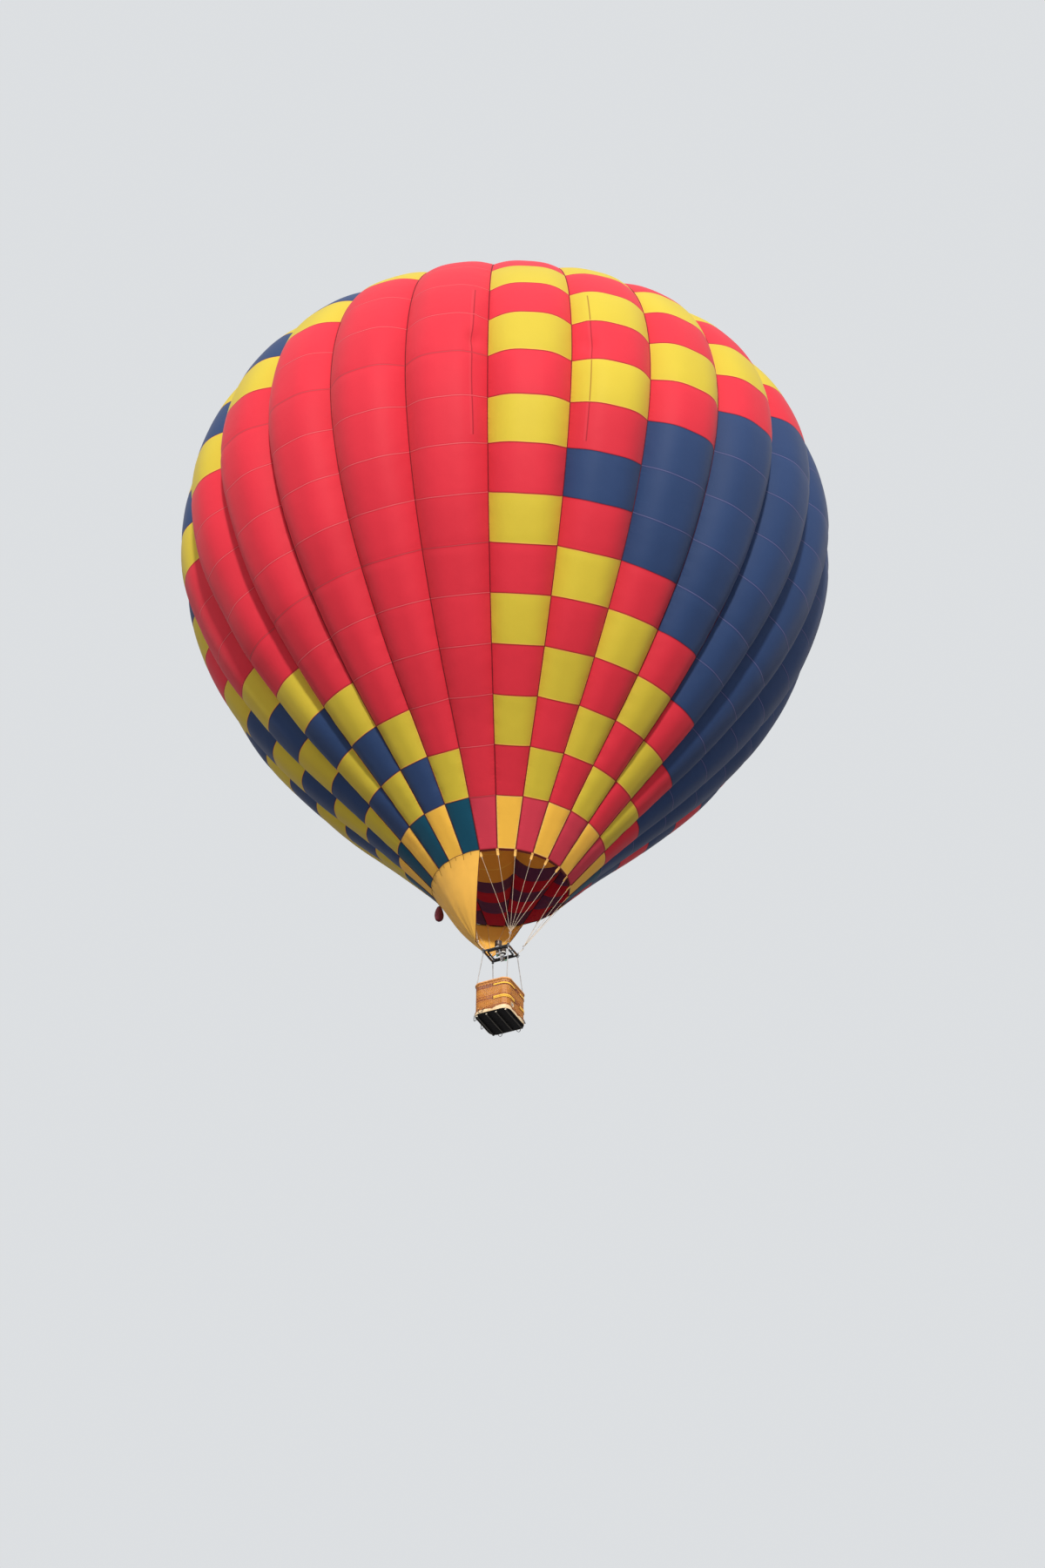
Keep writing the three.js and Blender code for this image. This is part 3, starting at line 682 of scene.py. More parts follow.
def make_sheet(name, points, seams, lengths, materials, flags, replaces, body="root",
               inside_out=False):
    """A grid of cloth. seams are its distances to the seams and slit, lengths its cloth lengths as
    UVs, and flags one row of values a face: material, tone, and the seams between like colours."""
    rows, columns = points.shape[:2]
    number = np.arange(rows * columns).reshape(rows, columns)
    quads = np.stack([number[:-1, :-1], number[:-1, 1:], number[1:, 1:], number[1:, :-1]], -1).reshape(-1, 4)
    mesh = bpy.data.meshes.new(name)
    mesh.from_pydata(points.reshape(-1, 3).tolist(), [], quads.tolist())
    layer = mesh.uv_layers.new(name="cloth")
    uv = np.stack([lengths[0].ravel(), lengths[1].ravel()], -1)[quads.ravel()]
    layer.data.foreach_set("uv", uv.astype(np.float32).ravel())
    for key, values in zip(("seam_side", "seam_row", "slit"), seams):
        give_values(mesh, key, "POINT", np.broadcast_to(values, (rows, columns)))
    for material in materials:
        mesh.materials.append(material)
    mesh.polygons.foreach_set("use_smooth", [True] * len(quads))
    flags = np.broadcast_to(flags, (len(quads), 4))
    mesh.polygons.foreach_set("material_index", flags[:, 0].astype(np.int32))
    if inside_out:
        mesh.flip_normals()
    for k, key in enumerate(("tone", "same_side", "same_row")):
        give_values(mesh, key, "FACE", flags[:, k + 1])
    return add_piece(name, mesh, body, replaces)


def make_gore(index):
    points, seams, lengths = gore_grid(index, SHELL / 2)
    tones = np.random.default_rng(index).uniform(0.2, 0.8, GORE_ROWS + 2)
    flags = []
    for i in range(GORE_ROWS * ALONG):
        row = i // ALONG + 1
        colour = panel_colour(index, row)
        material = CLOTH_ORDER.index("first_" + colour if row == 1 else colour)
        other_row = row + (1 if i % ALONG >= ALONG // 2 else -1)
        edge_row = max(row, other_row) - 1
        taped = edge_row in RING_TAPE_ROWS or edge_row == 1
        like_row = 1 <= other_row <= GORE_ROWS and panel_colour(index, other_row) == colour
        row_seam = (RING_SEAM if taped else LIKE_SEAM)[colour] if like_row else 0.0
        for j in range(ACROSS):
            neighbour = index + (1 if j >= ACROSS // 2 else -1)
            like_side = row > MIDDLE_ROW and panel_colour(neighbour, row) == colour
            flags.append((material, tones[row], LIKE_SIDE if like_side else 0.0, row_seam))
    piece = make_sheet(f"gore_cloth_{index + 1:02d}", points, seams, lengths, CLOTHS.values(), flags,
                       [f"gore_{index + 1:02d}"])
    across, along = lengths
    widths = across[:, -1] * 2
    area = float(np.trapz(widths, along[:, 0]))


for gore in range(GORES):
    make_gore(gore)


LOAD_TAPE_RADIUS = 0.011
LOAD_TAPE_IN = -0.002
LOAD_TAPE_STEPS = 7  # a row


def make_load_tapes():
    """The felled seam and load tape between each two gores, as a soft ridge."""
    shape = Shape()
    rows = np.linspace(0.02, GORE_ROWS - 0.02, GORE_ROWS * LOAD_TAPE_STEPS)
    for index in range(GORES):
        azimuth = tape_azimuth(index)
        path = [tape_point(azimuth, row, LOAD_TAPE_IN) for row in rows]
        shape.tube(path, LOAD_TAPE_RADIUS, 6, 0, random.uniform(0.3, 0.7), up=polar(azimuth + 90, 1, 0))
    shape.make("load_tapes", [TAPE])


make_load_tapes()

# Crown

CROWN_ROW = 19.18
CROWN_RING_SHARE = 0.83  # of the tapes' radius at that row
CROWN_TAPE = (0.046, 0.004)  # width and thickness
VENT_OVERLAP = 0.17
VENT_DROP = 0.027
VENT_FIRST_ROW = GORE_ROWS - VENT_OVERLAP
VENT_LAST_ROW = 19.3
VENT_SEAM_ROW = 18
VENT_RINGS = 26
VENT_STEPS = 8  # across a panel
VENT_SWELL = 0.085


def make_vent():
    """The parachute vent: a disc of 24 panels that swell up between the crown tapes."""
    rows = np.linspace(VENT_FIRST_ROW, VENT_LAST_ROW, VENT_RINGS)
    columns = GORES * VENT_STEPS
    points = np.zeros((VENT_RINGS + 1, columns + 1, 3))
    side, to_row, across, along = np.zeros((4, *points.shape[:2]))
    slow = waves(8, 77, 1.6)
    for i, row in enumerate(rows):
        swell = math.sin(math.pi * i / VENT_RINGS) ** 0.7
        for j in range(columns + 1):
            gore, part = divmod(j, VENT_STEPS)
            u = part / VENT_STEPS
            left, right = (tape_point(tape_azimuth(tape), row, VENT_DROP) for tape in (gore, gore + 1))
            chord = np.linalg.norm(right - left)
            points[i, j] = left + (right - left) * u + lift(VENT_SWELL * chord * swell * 4 * u * (1 - u))
            if part:
                points[i, j, 2] -= 0.008 * abs(slow(chord * u, row * ROW))
            side[i, j] = min(u, 1 - u) * chord
            across[i, j] = (gore + u) * chord
        to_row[i] = abs(along_gore(row) - along_gore(VENT_SEAM_ROW))
        along[i] = along_gore(row)
    # The last ring is one point at the top
    points[-1] = lift(points[-2, :, 2].mean() - 0.004)
    side[-1], to_row[-1], across[-1], along[-1] = 0.3, 0.5, across[-2], along[-2] + 0.2
    tones = np.random.default_rng(5).uniform(0.2, 0.8, GORES)
    flags = []
    for row in rows:
        panel_row = VENT_SEAM_ROW if row < VENT_SEAM_ROW else VENT_SEAM_ROW + 1
        for j in range(columns):
            gore = j // VENT_STEPS
            flags.append((CLOTH_ORDER.index(panel_colour(gore, panel_row)), tones[gore], 0.0, 0.0))
    piece = make_sheet("vent_cloth", points, (side, to_row, FAR), (across, along), CLOTHS.values(), flags,
                       ["parachute_vent"], "vent", inside_out=True)


make_vent()


def make_crown():
    """Crown tapes over the vent, sewn round a steel ring."""
    tapes = Shape()
    rows = np.linspace(GORE_ROWS - 0.3, CROWN_ROW + 0.02, 22)
    slopes = [meridian(row)[2] for row in rows]
    for azimuth in map(tape_azimuth, range(GORES)):
        path = [tape_point(azimuth, row, -0.002 if row < GORE_ROWS else 0.004) for row in rows]
        ups = [polar(azimuth, math.sin(slope), -math.cos(slope)) for slope in slopes]
        tapes.ribbon(path, ups, *CROWN_TAPE, 0, random.uniform(0.3, 0.7))
        for row in (GORE_ROWS - 0.22, GORE_ROWS - 0.06):
            centre = tape_point(azimuth, row, -0.004)
            way = tape_point(azimuth, row + 0.03, -0.004) - centre
            for shift in (-0.016, 0.016):
                at = centre + polar(azimuth + 90, shift, 0)
                tapes.tube([at - way, at + way], 0.0022, 5, 1)
    tapes.make("crown_tape_set", [TAPE, SLEEVE], replaces=["crown_tapes"])
    ring = Shape()
    tape_radius, height, _ = meridian(CROWN_ROW)
    radius = tape_radius * CROWN_RING_SHARE
    z = height + MOUTH_Z + 0.001
    ring.tube(circle(lift(z), radius, 96), 0.011, 10, closed=True)
    for azimuth in map(tape_azimuth, range(GORES)):
        loop = [polar(azimuth, radius + 0.017 * math.cos(turn) + 0.002, z + 0.016 * math.sin(turn))
                for turn in circle_angles(14)]
        ring.ribbon(loop, np.array(loop) - polar(azimuth, radius, z), 0.040, 0.003, 1, closed=True)
    ring.make("crown_ring", [STEEL, TAPE])


make_crown()

# Mouth: band, sleeve tabs and wires

STITCHES_A_GORE = 18
TAB = (0.074, 0.009)  # width and thickness


def band_point(azimuth, down, inwards):
    r = MOUTH_RADIUS - down * math.cos(MOUTH_SLOPE) - inwards * math.sin(MOUTH_SLOPE)
    z = MOUTH_Z - down * math.sin(MOUTH_SLOPE) + inwards * math.cos(MOUTH_SLOPE)
    return polar(azimuth, r, z)


def wire_start(azimuth):
    return band_point(azimuth, WIRE_START, SHELL / 2)


def corner_point(corner, out, z):
    """A point over the load frame's corner, moved out along X and Y."""
    x, y, _ = CORNERS[corner]
    return np.array([x * (FRAME_X / 2 + out), y * (FRAME_Y / 2 + out), z])


def link_of(corner):
    return corner_point(corner, LINK_OUT, LINK_Z)


def make_mouth():
    """Two rows of stitches round the band, and a folded tab where each wire starts."""
    stitching = Shape()
    for index in range(GORES):
        for down, tone in ((0.010, 0.4), (0.050, 0.6)):
            start, end = (band_point(tape_azimuth(tape), down, -0.0015) for tape in (index, index + 1))
            for i in range(STITCHES_A_GORE):
                stitch = [start + (end - start) * (i + share) / STITCHES_A_GORE for share in (0.25, 0.75)]
                stitching.tube(stitch, 0.0016, 4, 0, tone)
    stitching.make("mouth_stitching", [TAPE])
    tabs = Shape()
    for corner, (_, _, first) in CORNERS.items():
        link = link_of(corner) + lift(LINK_HEIGHT / 2)
        for index in range(first, first + WIRES):
            azimuth = tape_azimuth(index)
            covered = index % GORES >= SCOOP_FIRST_TAPE
            inset = 0.014 if covered else -0.007
            start = wire_start(azimuth)
            way = unit(link - start)
            path = [band_point(azimuth, 0.004, inset), band_point(azimuth, 0.03, inset)]
            path.append(band_point(azimuth, 0.062, inset * 0.8))
            path += [start + way * length for length in (0.055, 0.10, 0.14)]
            tabs.ribbon(path, polar(azimuth, 1, 0), *TAB, 0, random.uniform(0.3, 0.7))
            across = polar(azimuth + 90, 0.030, 0)
            for down in (0.012, 0.05):
                on = band_point(azimuth, down, inset + (0.006 if covered else -0.006))
                tabs.tube([on - across, on + across], 0.0018, 4, 1)
    tabs.make("sleeve_tabs", [SLEEVE, MOUTH_TAPE])


make_mouth()


def make_rigging(corner):
    """Wires with their sleeves and thimbles, the ring they hang from and its stem."""
    x, y, first = CORNERS[corner]
    shape = Shape()
    link = link_of(corner)
    top = link + lift(LINK_HEIGHT / 2)
    for index in range(first, first + WIRES):
        start = wire_start(tape_azimuth(index))
        way = unit(top - start)
        end = top - way * 0.05
        shape.tube(np.linspace(start, end, 8), WIRE_RADIUS, 6)
        shape.tube([start + way * 0.145, start + way * 0.205], 0.009, 8, 0, 0.8)
        shape.tube([end - way * 0.16, end - way * 0.09], 0.008, 8, 0, 0.8)
        side = np.cross(way, (0, 0, 1)) * 0.011
        thimble = [end - way * (0.065 + 0.025 * math.cos(a)) + side * math.sin(a)
                   for a in np.linspace(0, 2 * math.pi, 12)]
        shape.tube(thimble, 0.003, 5, 0, 0.6)
    across = np.cross(unit((x, y, 0)), (0, 0, 1)) * 0.026
    middle = link + lift(0.030)
    ring = [middle + across * math.cos(a) + lift(0.058 * math.sin(a)) for a in circle_angles(20)]
    shape.tube(ring, 0.0075, 10, 1, closed=True)
    shape.tube([link + across + lift(z) for z in (0.012, 0.05)], 0.0115, 10, 1, 0.7)
    foot = corner_point(corner, 0, FRAME_MIDDLE + SOCKET_HEIGHT / 2 + FIT_GAP)
    stem = np.linspace(foot, link - lift(0.022), 10)
    shape.tube(stem, 0.0065, 8, 0, 0.4)
    shape.tube([stem[0], (stem[1] + stem[2]) / 2], 0.011, 10, 2)
    shape.tube([stem[8] * 0.6 + stem[7] * 0.4, stem[9]], 0.010, 10, 0, 0.8)
    shape.make(f"wires_{corner}", [WIRE, STEEL, SLEEVE_LEATHER],
               replaces=[f"rigging_{corner}"])


for corner_name in CORNERS:
    make_rigging(corner_name)

# Scoop

SCOOP_SHELL = 0.010
SCOOP_GAP = 0.0005
SCOOP_LENGTH = 6.3  # of cloth along the mouth
SCOOP_STEPS = 12  # across a gore


def scoop_azimuth(u):
    return tape_azimuth(SCOOP_FIRST_TAPE + SCOOP_GORES * u)


def scoop_point(u, fall):
    """u runs along the mouth, fall from the band (under 0 lies on it) to the lower edge."""
    azimuth = scoop_azimuth(u)
    normal = polar(azimuth, math.sin(MOUTH_SLOPE), -math.cos(MOUTH_SLOPE))
    outwards = SCOOP_GAP + SCOOP_SHELL / 2
    if fall <= 0:
        return band_point(azimuth, MOUTH_BAND * (1 + fall), 0) + normal * outwards
    spread = min(1.0, max(0.0, (u - 0.28) / 0.44))
    share = 0.8 * spread + 0.2 * u
    past = LINK_OUT + SCOOP_PAST_LINK
    half = FRAME_Y / 2 + past
    bottom = np.array([-FRAME_X / 2 - past, half - 2 * half * share, LINK_Z])
    p = band_point(azimuth, MOUTH_BAND, 0)
    return p + (bottom - p) * fall + normal * (SCOOP_BILLOW * math.sin(math.pi * fall) + outwards)


def make_scoop():
    """Heat-proof cloth from half of the mouth down to the links, with gathers at the band."""
    columns = SCOOP_GORES * SCOOP_STEPS
    falls = np.concatenate([[-0.95, -0.5, -0.05], np.linspace(0.02, 1, 44)])
    points = np.zeros((len(falls), columns + 1, 3))
    side, across, along = np.zeros((3, *points.shape[:2]))
    folds = waves(9, 9, 0.55)
    slow = waves(6, 10, 2.2)
    for i, fall in enumerate(falls):
        below = max(fall, 0)
        for j in range(columns + 1):
            u = j / columns
            length = u * SCOOP_LENGTH
            edge = min(u, 1 - u) * 6.0
            free = min(1.0, below * 5) * min(1.0, (1 - below) * 6 + 0.15) * min(1.0, edge * 4)
            push = (0.007 * folds(length, below * 0.5) + 0.015 * slow(length, fall * 2)) * free
            scallop = abs(math.sin(math.pi * u * SCOOP_GORES))
            push += 0.02 * scallop * max(0.0, 1 - below * 5)
            points[i, j] = scoop_point(u, fall) + polar(scoop_azimuth(u), push + 0.004, 0)
            side[i, j], across[i, j], along[i, j] = edge, length, fall * 2.0
    piece = make_sheet("scoop_cloth", points, (side, 1.0, FAR), (across, along), [NOMEX], (0, 0.5, 0.0, 0.0),
                       ["scoop"])
    binding = Shape()
    for column, tone in ((0, 0.3), (-1, 0.6)):
        binding.tube(points[2:, column], 0.010, 6, 0, tone, flat=0.7)
    binding.tube(points[-1, ::2], 0.011, 6, 0, 0.4)
    binding.tube(points[0] + lift(0.004), 0.007, 6)
    links = [link_of(corner) for corner in ("front_left", "back_left")]
    for end in (points[-1, 0], points[-1, -1]):
        nearest = min(links, key=lambda link: np.linalg.norm(link - end))
        binding.tube([end, (end + nearest) / 2 + lift(0.01), nearest + lift(0.02)], 0.006, 6)
    binding.make("scoop_binding", [TAPE])
    ties = Shape()
    for step in range(2 * SCOOP_GORES + 1):
        on_tape = step % 2 == 0
        out = polar(scoop_azimuth(step / (2 * SCOOP_GORES)), 0.008, 0)
        drop = random.choice((2, 3)) if on_tape else 1
        path = points[:3 + drop, step * SCOOP_STEPS // 2] + out
        ties.ribbon(path, out, 0.020 if on_tape else 0.012, 0.003, 0, random.uniform(0.2, 0.8))
    ties.make("scoop_ties", [TIE])


make_scoop()

# Line bag

SACK_WIDE = 0.125
SACK_DEEP = 0.135
SACK_SIDES = 40
SACK_RINGS = 22


def make_line_bag():
    """A drawstring sack for the lines: round foot, full belly, pleats up to a tied neck."""
    low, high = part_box("line_bag")
    foot = low.z - 0.05
    top = low.z + (high.z - low.z) * 0.80
    x = low.x + 0.075
    folds = waves(6, 31, 1.0)

    def sack_point(a, t, swell):
        size = swell * math.sin(math.pi * min(1.0, t ** 0.72 * 0.86 + 0.07)) ** 0.62
        return x + SACK_WIDE * size * math.cos(a), SACK_DEEP * size * math.sin(a), foot + (top - foot) * t

    def pleat(a, t):
        return 1 + 0.07 * math.cos(10 * a + 0.6 * math.sin(5 * t)) * t ** 1.5 + 0.04 * folds(a, t * 3)

    shape = Shape()
    shape.skin([[sack_point(a, t, pleat(a, t)) for a in circle_angles(SACK_SIDES)]
                for t in np.linspace(0, 1, SACK_RINGS + 1)], turned=True)
    for a in (0.6, 2.2, 3.7, 5.3):
        shape.tube([sack_point(a, i / SACK_RINGS, 1.03) for i in range(1, SACK_RINGS)], 0.0045, 5, 1)
    shape.tube([sack_point(a, 0.95, 1.02) for a in circle_angles(28)], 0.006, 6, 1, closed=True)
    shape.make("line_bag_sack", [BAG, LACE], replaces=["line_bag"])
    strap = Shape()
    path = [(x, 0, top - 0.01), (x + 0.004, 0, top + 0.05)]
    path += [(high.x - 0.040, 0, high.z - 0.08), (high.x - 0.02, 0, high.z - 0.01)]
    strap.ribbon(path, (1, 0, 0.2), 0.034, 0.005)
    strap.make("line_bag_strap", [TAPE])


make_line_bag()

# Load frame and gimbal

def make_frame_fittings():
    """Collars, clamp screws, clamps and pivot nuts, and the laced padding on the side tubes."""
    shape = Shape()
    for corner, (x, y, _) in CORNERS.items():
        centre = corner_point(corner, 0, FRAME_MIDDLE)
        for z in (-0.052, 0.040):
            collar = [(0.0315, z), (0.036, z + 0.002), (0.036, z + 0.010), (0.0315, z + 0.012)]
            shape.lathe(collar, centre, 24)
        out = unit((x, y, 0))
        shape.tube([centre + out * 0.030, centre + out * 0.052], 0.007)
        shape.tube([centre + out * 0.052, centre + out * 0.064], 0.014, 8, 1)
    nut = [(0.0, 0.0), (0.017, 0.0), (0.017, 0.006), (0.010, 0.010), (0.0, 0.010)]
    for side in (-1, 1):
        for y in (-0.18, 0.18):
            shape.block((side * FRAME_X / 2, y, FRAME_MIDDLE), (0.047, 0.03, 0.047), 0.004)
        shape.lathe(nut, (side * (FRAME_X / 2 + 0.021), 0, FRAME_MIDDLE), 6, axis=(side, 0, 0))
    shape.make("frame_fittings", [STEEL, BLACK_PAINT])
    sleeves = Shape()
    for side in (-1, 1):
        for low, high in ((-0.24, -0.06), (0.06, 0.24)):
            places = np.linspace(low, high, 14)
            radii = [0.031 + 0.0016 * math.sin(i * 1.9) for i in range(14)]
            sleeves.tube([(side * FRAME_X / 2, y, FRAME_MIDDLE) for y in places], radii, 14)
            for y in places[1:-1]:
                lace = [(side * (FRAME_X / 2 + way * 0.010), y + way * 0.004, FRAME_MIDDLE - 0.0325)
                        for way in (-1, 1)]
                sleeves.tube(lace, 0.0024, 4, 1)
    sleeves.make("frame_sleeves", [SLEEVE_LEATHER, SLEEVE])


make_frame_fittings()

# Burner

JET_CIRCLE = 0.045
COIL_TURNS = 6
COIL_STEPS = 22  # a turn


def make_shield(name, centre):
    """A burner's can: thin steel with rolled beads, port plugs, rivets and a pale ring inside."""
    r, top = CAN_RADIUS, CAN_HEIGHT
    profile = [(0.036, 0.0), (r * 0.70, 0.0), (r * 0.86, 0.022), (r, 0.050), (r, 0.062)]
    profile += [(r - 0.002, 0.066), (r - 0.002, 0.188), (r, 0.192), (r, 0.204), (r - 0.002, 0.208)]
    profile += [(r - 0.002, top - 0.010), (r, top - 0.007), (r, top - 0.002), (r - 0.003, top)]
    profile += [(r - 0.008, top), (r - 0.010, top - 0.006), (r - 0.012, 0.072), (r * 0.66, 0.034)]
    profile.append((0.036, 0.030))
    can = Shape()
    can.lathe(profile, centre, 48)
    port = [(0.0, 0.0), (0.0095, 0.0), (0.0115, 0.0025), (0.0095, 0.0035), (0.0, 0.001)]
    rivet = [(0.0, -0.001), (0.004, -0.001), (0.003, 0.002), (0.0, 0.0025)]
    for a in circle_angles(12):
        way = np.array([math.cos(a), math.sin(a), 0])
        can.lathe(port, centre + lift(0.098) + way * (r - 0.0035), 10, 2, axis=way)
        can.lathe(rivet, centre + lift(0.198) + way * r, 6, 1, axis=way)
    ring = [(r * 0.90, 0.022), (r * 0.95, 0.022), (r * 0.975, 0.034), (r, 0.046), (r * 0.92, 0.046)]
    can.lathe(ring, centre, 48, 3)
    can.make(f"burner_shield_{name}", [HOT_STEEL, STEEL, BLACK_PAINT, WHITE_PAINT], "burner",
             [f"burner_can_{name}"])


def make_coil(name, centre):
    """The vaporiser coil, the ring of jets under it and the pilot light."""
    coil = Shape()
    count = COIL_TURNS * COIL_STEPS
    path = []
    for i in range(count + 1):
        t = i / count
        a = 2 * math.pi * i / COIL_STEPS
        radius = 0.080 - 0.016 * abs(2 * t - 1) ** 3
        path.append(centre + (radius * math.cos(a), radius * math.sin(a), 0.068 + 0.150 * t))
    coil.tube(path, 0.0085)
    coil.tube(circle(centre + lift(0.062), JET_CIRCLE, 24), 0.007, 8, 1, closed=True)
    for jet in circle(centre + lift(0.066), JET_CIRCLE, 16):
        coil.tube([jet, jet + lift(0.012)], 0.0032, 6, 1, 0.7)
    coil.tube([centre + (-0.02, 0, z) for z in (0.03, 0.10)], 0.012, 10, 0, 0.6)
    coil.make(f"burner_coil_{name}", [HOT_STEEL, BRASS], "burner")


def make_valves(name, side):
    """Under a burner: hose nuts, a gauge, the blast valve's lever and the knob of the second valve."""
    half = BLOCK_SIZE / 2
    foot = np.array([0, side * BURNER_SPACING / 2, FRAME_MIDDLE - BLOCK_DROP])
    grip_index, knob_index = (1, 2) if side < 0 else (2, 1)
    nut = [(0.0, 0.0), (0.019, 0.0), (0.019, 0.010), (0.014, 0.012), (0.014, 0.026), (0.0, 0.028)]
    gauge = [(0.0, 0.0), (0.024, 0.0), (0.024, 0.004), (0.021, 0.005), (0.021, 0.0014), (0.0, 0.0016)]
    knob = [(0.0, 0.0), (0.008, 0.0), (0.008, 0.014), (0.022, 0.017), (0.022, 0.034), (0.0, 0.036)]
    valves = Shape()
    for x_side in (-1, 1):
        valves.lathe(nut, foot + (x_side * half, 0, 0.040), 6, axis=(x_side, 0, 0))
    valves.lathe(gauge, foot + (0, side * half, 0.085), 24, axis=(0, side, 0))
    bends = [(0.034, 0, 0.006), (0.034, 0, -0.018), (0.060, 0, -0.030), (0.150, 0, -0.034)]
    lever = [foot + bend for bend in bends]
    valves.tube(lever, 0.0055)
    valves.tube([foot + (0.075, 0, -0.0315), lever[-1]], 0.016, 12, grip_index)
    valves.lathe(knob, foot + (-0.034, 0, 0), 16, knob_index, axis=(0, 0, -1))
    valves.make(f"burner_valves_{name}", [BRASS, WHITE_PAINT, GREEN_PAINT], "burner")


for burner_name, burner_side in (("front", -1), ("back", 1)):
    can_foot = np.array([0, burner_side * BURNER_SPACING / 2, FRAME_MIDDLE + CAN_RISE + FIT_GAP])
    make_shield(burner_name, can_foot)
    make_coil(burner_name, can_foot)
    make_valves(burner_name, burner_side)

# Uprights

UPRIGHT_RADIUS = 0.014
UPRIGHT_STITCHES = 44
SLEEVE_RADIUS = 0.0135
SLEEVE_STEPS = 60


def make_upright(corner):
    """A laced suede sleeve from the basket's corner in to the load frame's."""
    x, y, _ = CORNERS[corner]
    low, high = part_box(f"upright_{corner}")
    ends_x = (low.x + UPRIGHT_RADIUS, high.x - UPRIGHT_RADIUS)
    ends_y = (low.y + UPRIGHT_RADIUS, high.y - UPRIGHT_RADIUS)
    foot = np.array([ends_x[x > 0], ends_y[y > 0], low.z])
    head = np.array([ends_x[x < 0], ends_y[y < 0], high.z])
    shape = Shape()
    shares = np.linspace(0, 1, SLEEVE_STEPS)
    drawn_in = np.where((shares < 0.02) | (shares > 0.98), 0.002, 0)
    radii = SLEEVE_RADIUS + 0.0006 * np.sin(37 * shares) - drawn_in
    shape.tube(np.linspace(foot, head, SLEEVE_STEPS), radii, 14)
    out = unit((x, y, 0))
    across = np.cross(out, (0, 0, 1)) * 0.005
    up = lift(0.006)
    for i in range(UPRIGHT_STITCHES):
        at = foot + (head - foot) * (i + 0.5) / UPRIGHT_STITCHES - out * SLEEVE_RADIUS
        shape.tube([at - across - up, at - out * 0.0012, at + across + up], 0.0012, 4, 1)
    collar = [(0.010, -0.008), (0.0150, -0.006), (0.0150, 0.006), (0.010, 0.008)]
    for t in (0.015, 0.985):
        shape.lathe(collar, foot + (head - foot) * t, 20, 2)
    shape.make(f"upright_sleeve_{corner}", [PALE_SUEDE, LACE, STEEL],
               replaces=[f"upright_{corner}"])


for corner_name in CORNERS:
    make_upright(corner_name)

# Basket

WEAVE_PITCH = 0.0102
WEAVE_SIDES = 5
STAKES = 84
STAKE_RADIUS = 0.0062
# Bands of dark waling: height over the wall's foot and rows
BANDS = [(0.080, 4), (0.150, 2), (0.405, 4), (0.470, 1), (0.500, 2), (0.790, 4), (0.850, 4), (0.905, 1)]


def perimeter(inset):
    """Length of the basket's outline, moved inwards, and a function of the length along it."""
    wide, deep = BASKET_X / 2 - inset, BASKET_Y / 2 - inset
    radius = BASKET_CORNER - inset
    x, y = wide - radius, deep - radius
    arc = math.pi * radius / 2
    # Straight start, direction in degrees, straight length, centre of the corner arc that follows
    parts = [((-x, -deep), 0, 2 * x, (x, -y)), ((wide, -y), 90, 2 * y, (x, y)),
             ((x, deep), 180, 2 * x, (-x, y)), ((-wide, y), 270, 2 * y, (-x, -y))]
    total = 4 * (x + y) + 4 * arc

    def at(length):
        length %= total
        for start, heading, straight, centre in parts:
            way = math.radians(heading)
            if length < straight:
                ahead = np.array([math.cos(way), math.sin(way), 0.0])
                return np.array([*start, 0.0]) + ahead * length, np.array([ahead[1], -ahead[0], 0.0])
            length -= straight
            if length < arc:
                turn = way - math.pi / 2 + length / radius
                normal = np.array([math.cos(turn), math.sin(turn), 0.0])
                return np.array([*centre, 0.0]) + normal * radius, normal
            length -= arc
        return at(0.0)

    return total, at


def in_step_hole(p, z, margin=0.004):
    beside = abs(p[1] - STEP_HOLE_Y) < STEP_HOLE[0] / 2 + margin
    level = abs(z - STEP_HOLE_Z) < STEP_HOLE[1] / 2 + margin
    return beside and level and abs(p[0]) > BASKET_X / 2 - 0.06


def make_weave(rng):
    """Rows of willow that pass in front of one stake and behind the next."""
    total, at = perimeter(WALL / 2)
    samples = STAKES * 2
    stations = [at(total * i / samples) for i in range(samples)]
    height = WALL_TOP - WALL_BOTTOM
    rows = int(height / WEAVE_PITCH)
    angles = circle_angles(WEAVE_SIDES) + 0.3
    shape = Shape()
    for row in range(rows):
        up = (row + 0.5) * height / rows
        z = WALL_BOTTOM + up
        dark = any(low <= up < low + count * WEAVE_PITCH for low, count in BANDS)
        swing, thick = (0.0088, 0.0058) if dark else (0.0072, 0.0050)
        shift = rng.uniform(-0.0008, 0.0008)
        tone_from = rng.uniform(0.0, 1.0)
        base = len(shape.points)
        for i, (p, normal) in enumerate(stations):
            wobble = 0.0007 * math.sin(i * 0.7 + row * 1.3)
            middle = p + normal * swing * math.cos(math.pi * (i / 2 + row)) + lift(z + shift + wobble)
            section = [normal * thick * math.cos(a) + lift(0.0068 * math.sin(a)) for a in angles]
            shape.add(middle + section, [])
        open_here = [in_step_hole(p, z) for p, _ in stations]
        for i in range(samples):
            j = (i + 1) % samples
            if open_here[i] or open_here[j]:
                continue
            tone = min(1.0, max(0.0, tone_from + 0.3 * math.sin(i * 0.13 + row * 2.1)))
            a, b = base + i * WEAVE_SIDES, base + j * WEAVE_SIDES
            for k in range(WEAVE_SIDES):
                m = (k + 1) % WEAVE_SIDES
                shape.faces.append((a + k, b + k, b + m, a + m))
                shape.indices.append(1 if dark else 0)
                shape.tones.append(tone)
    shape.make("wicker_weave", [WICKER, WICKER_DARK], replaces=["basket_wall"])


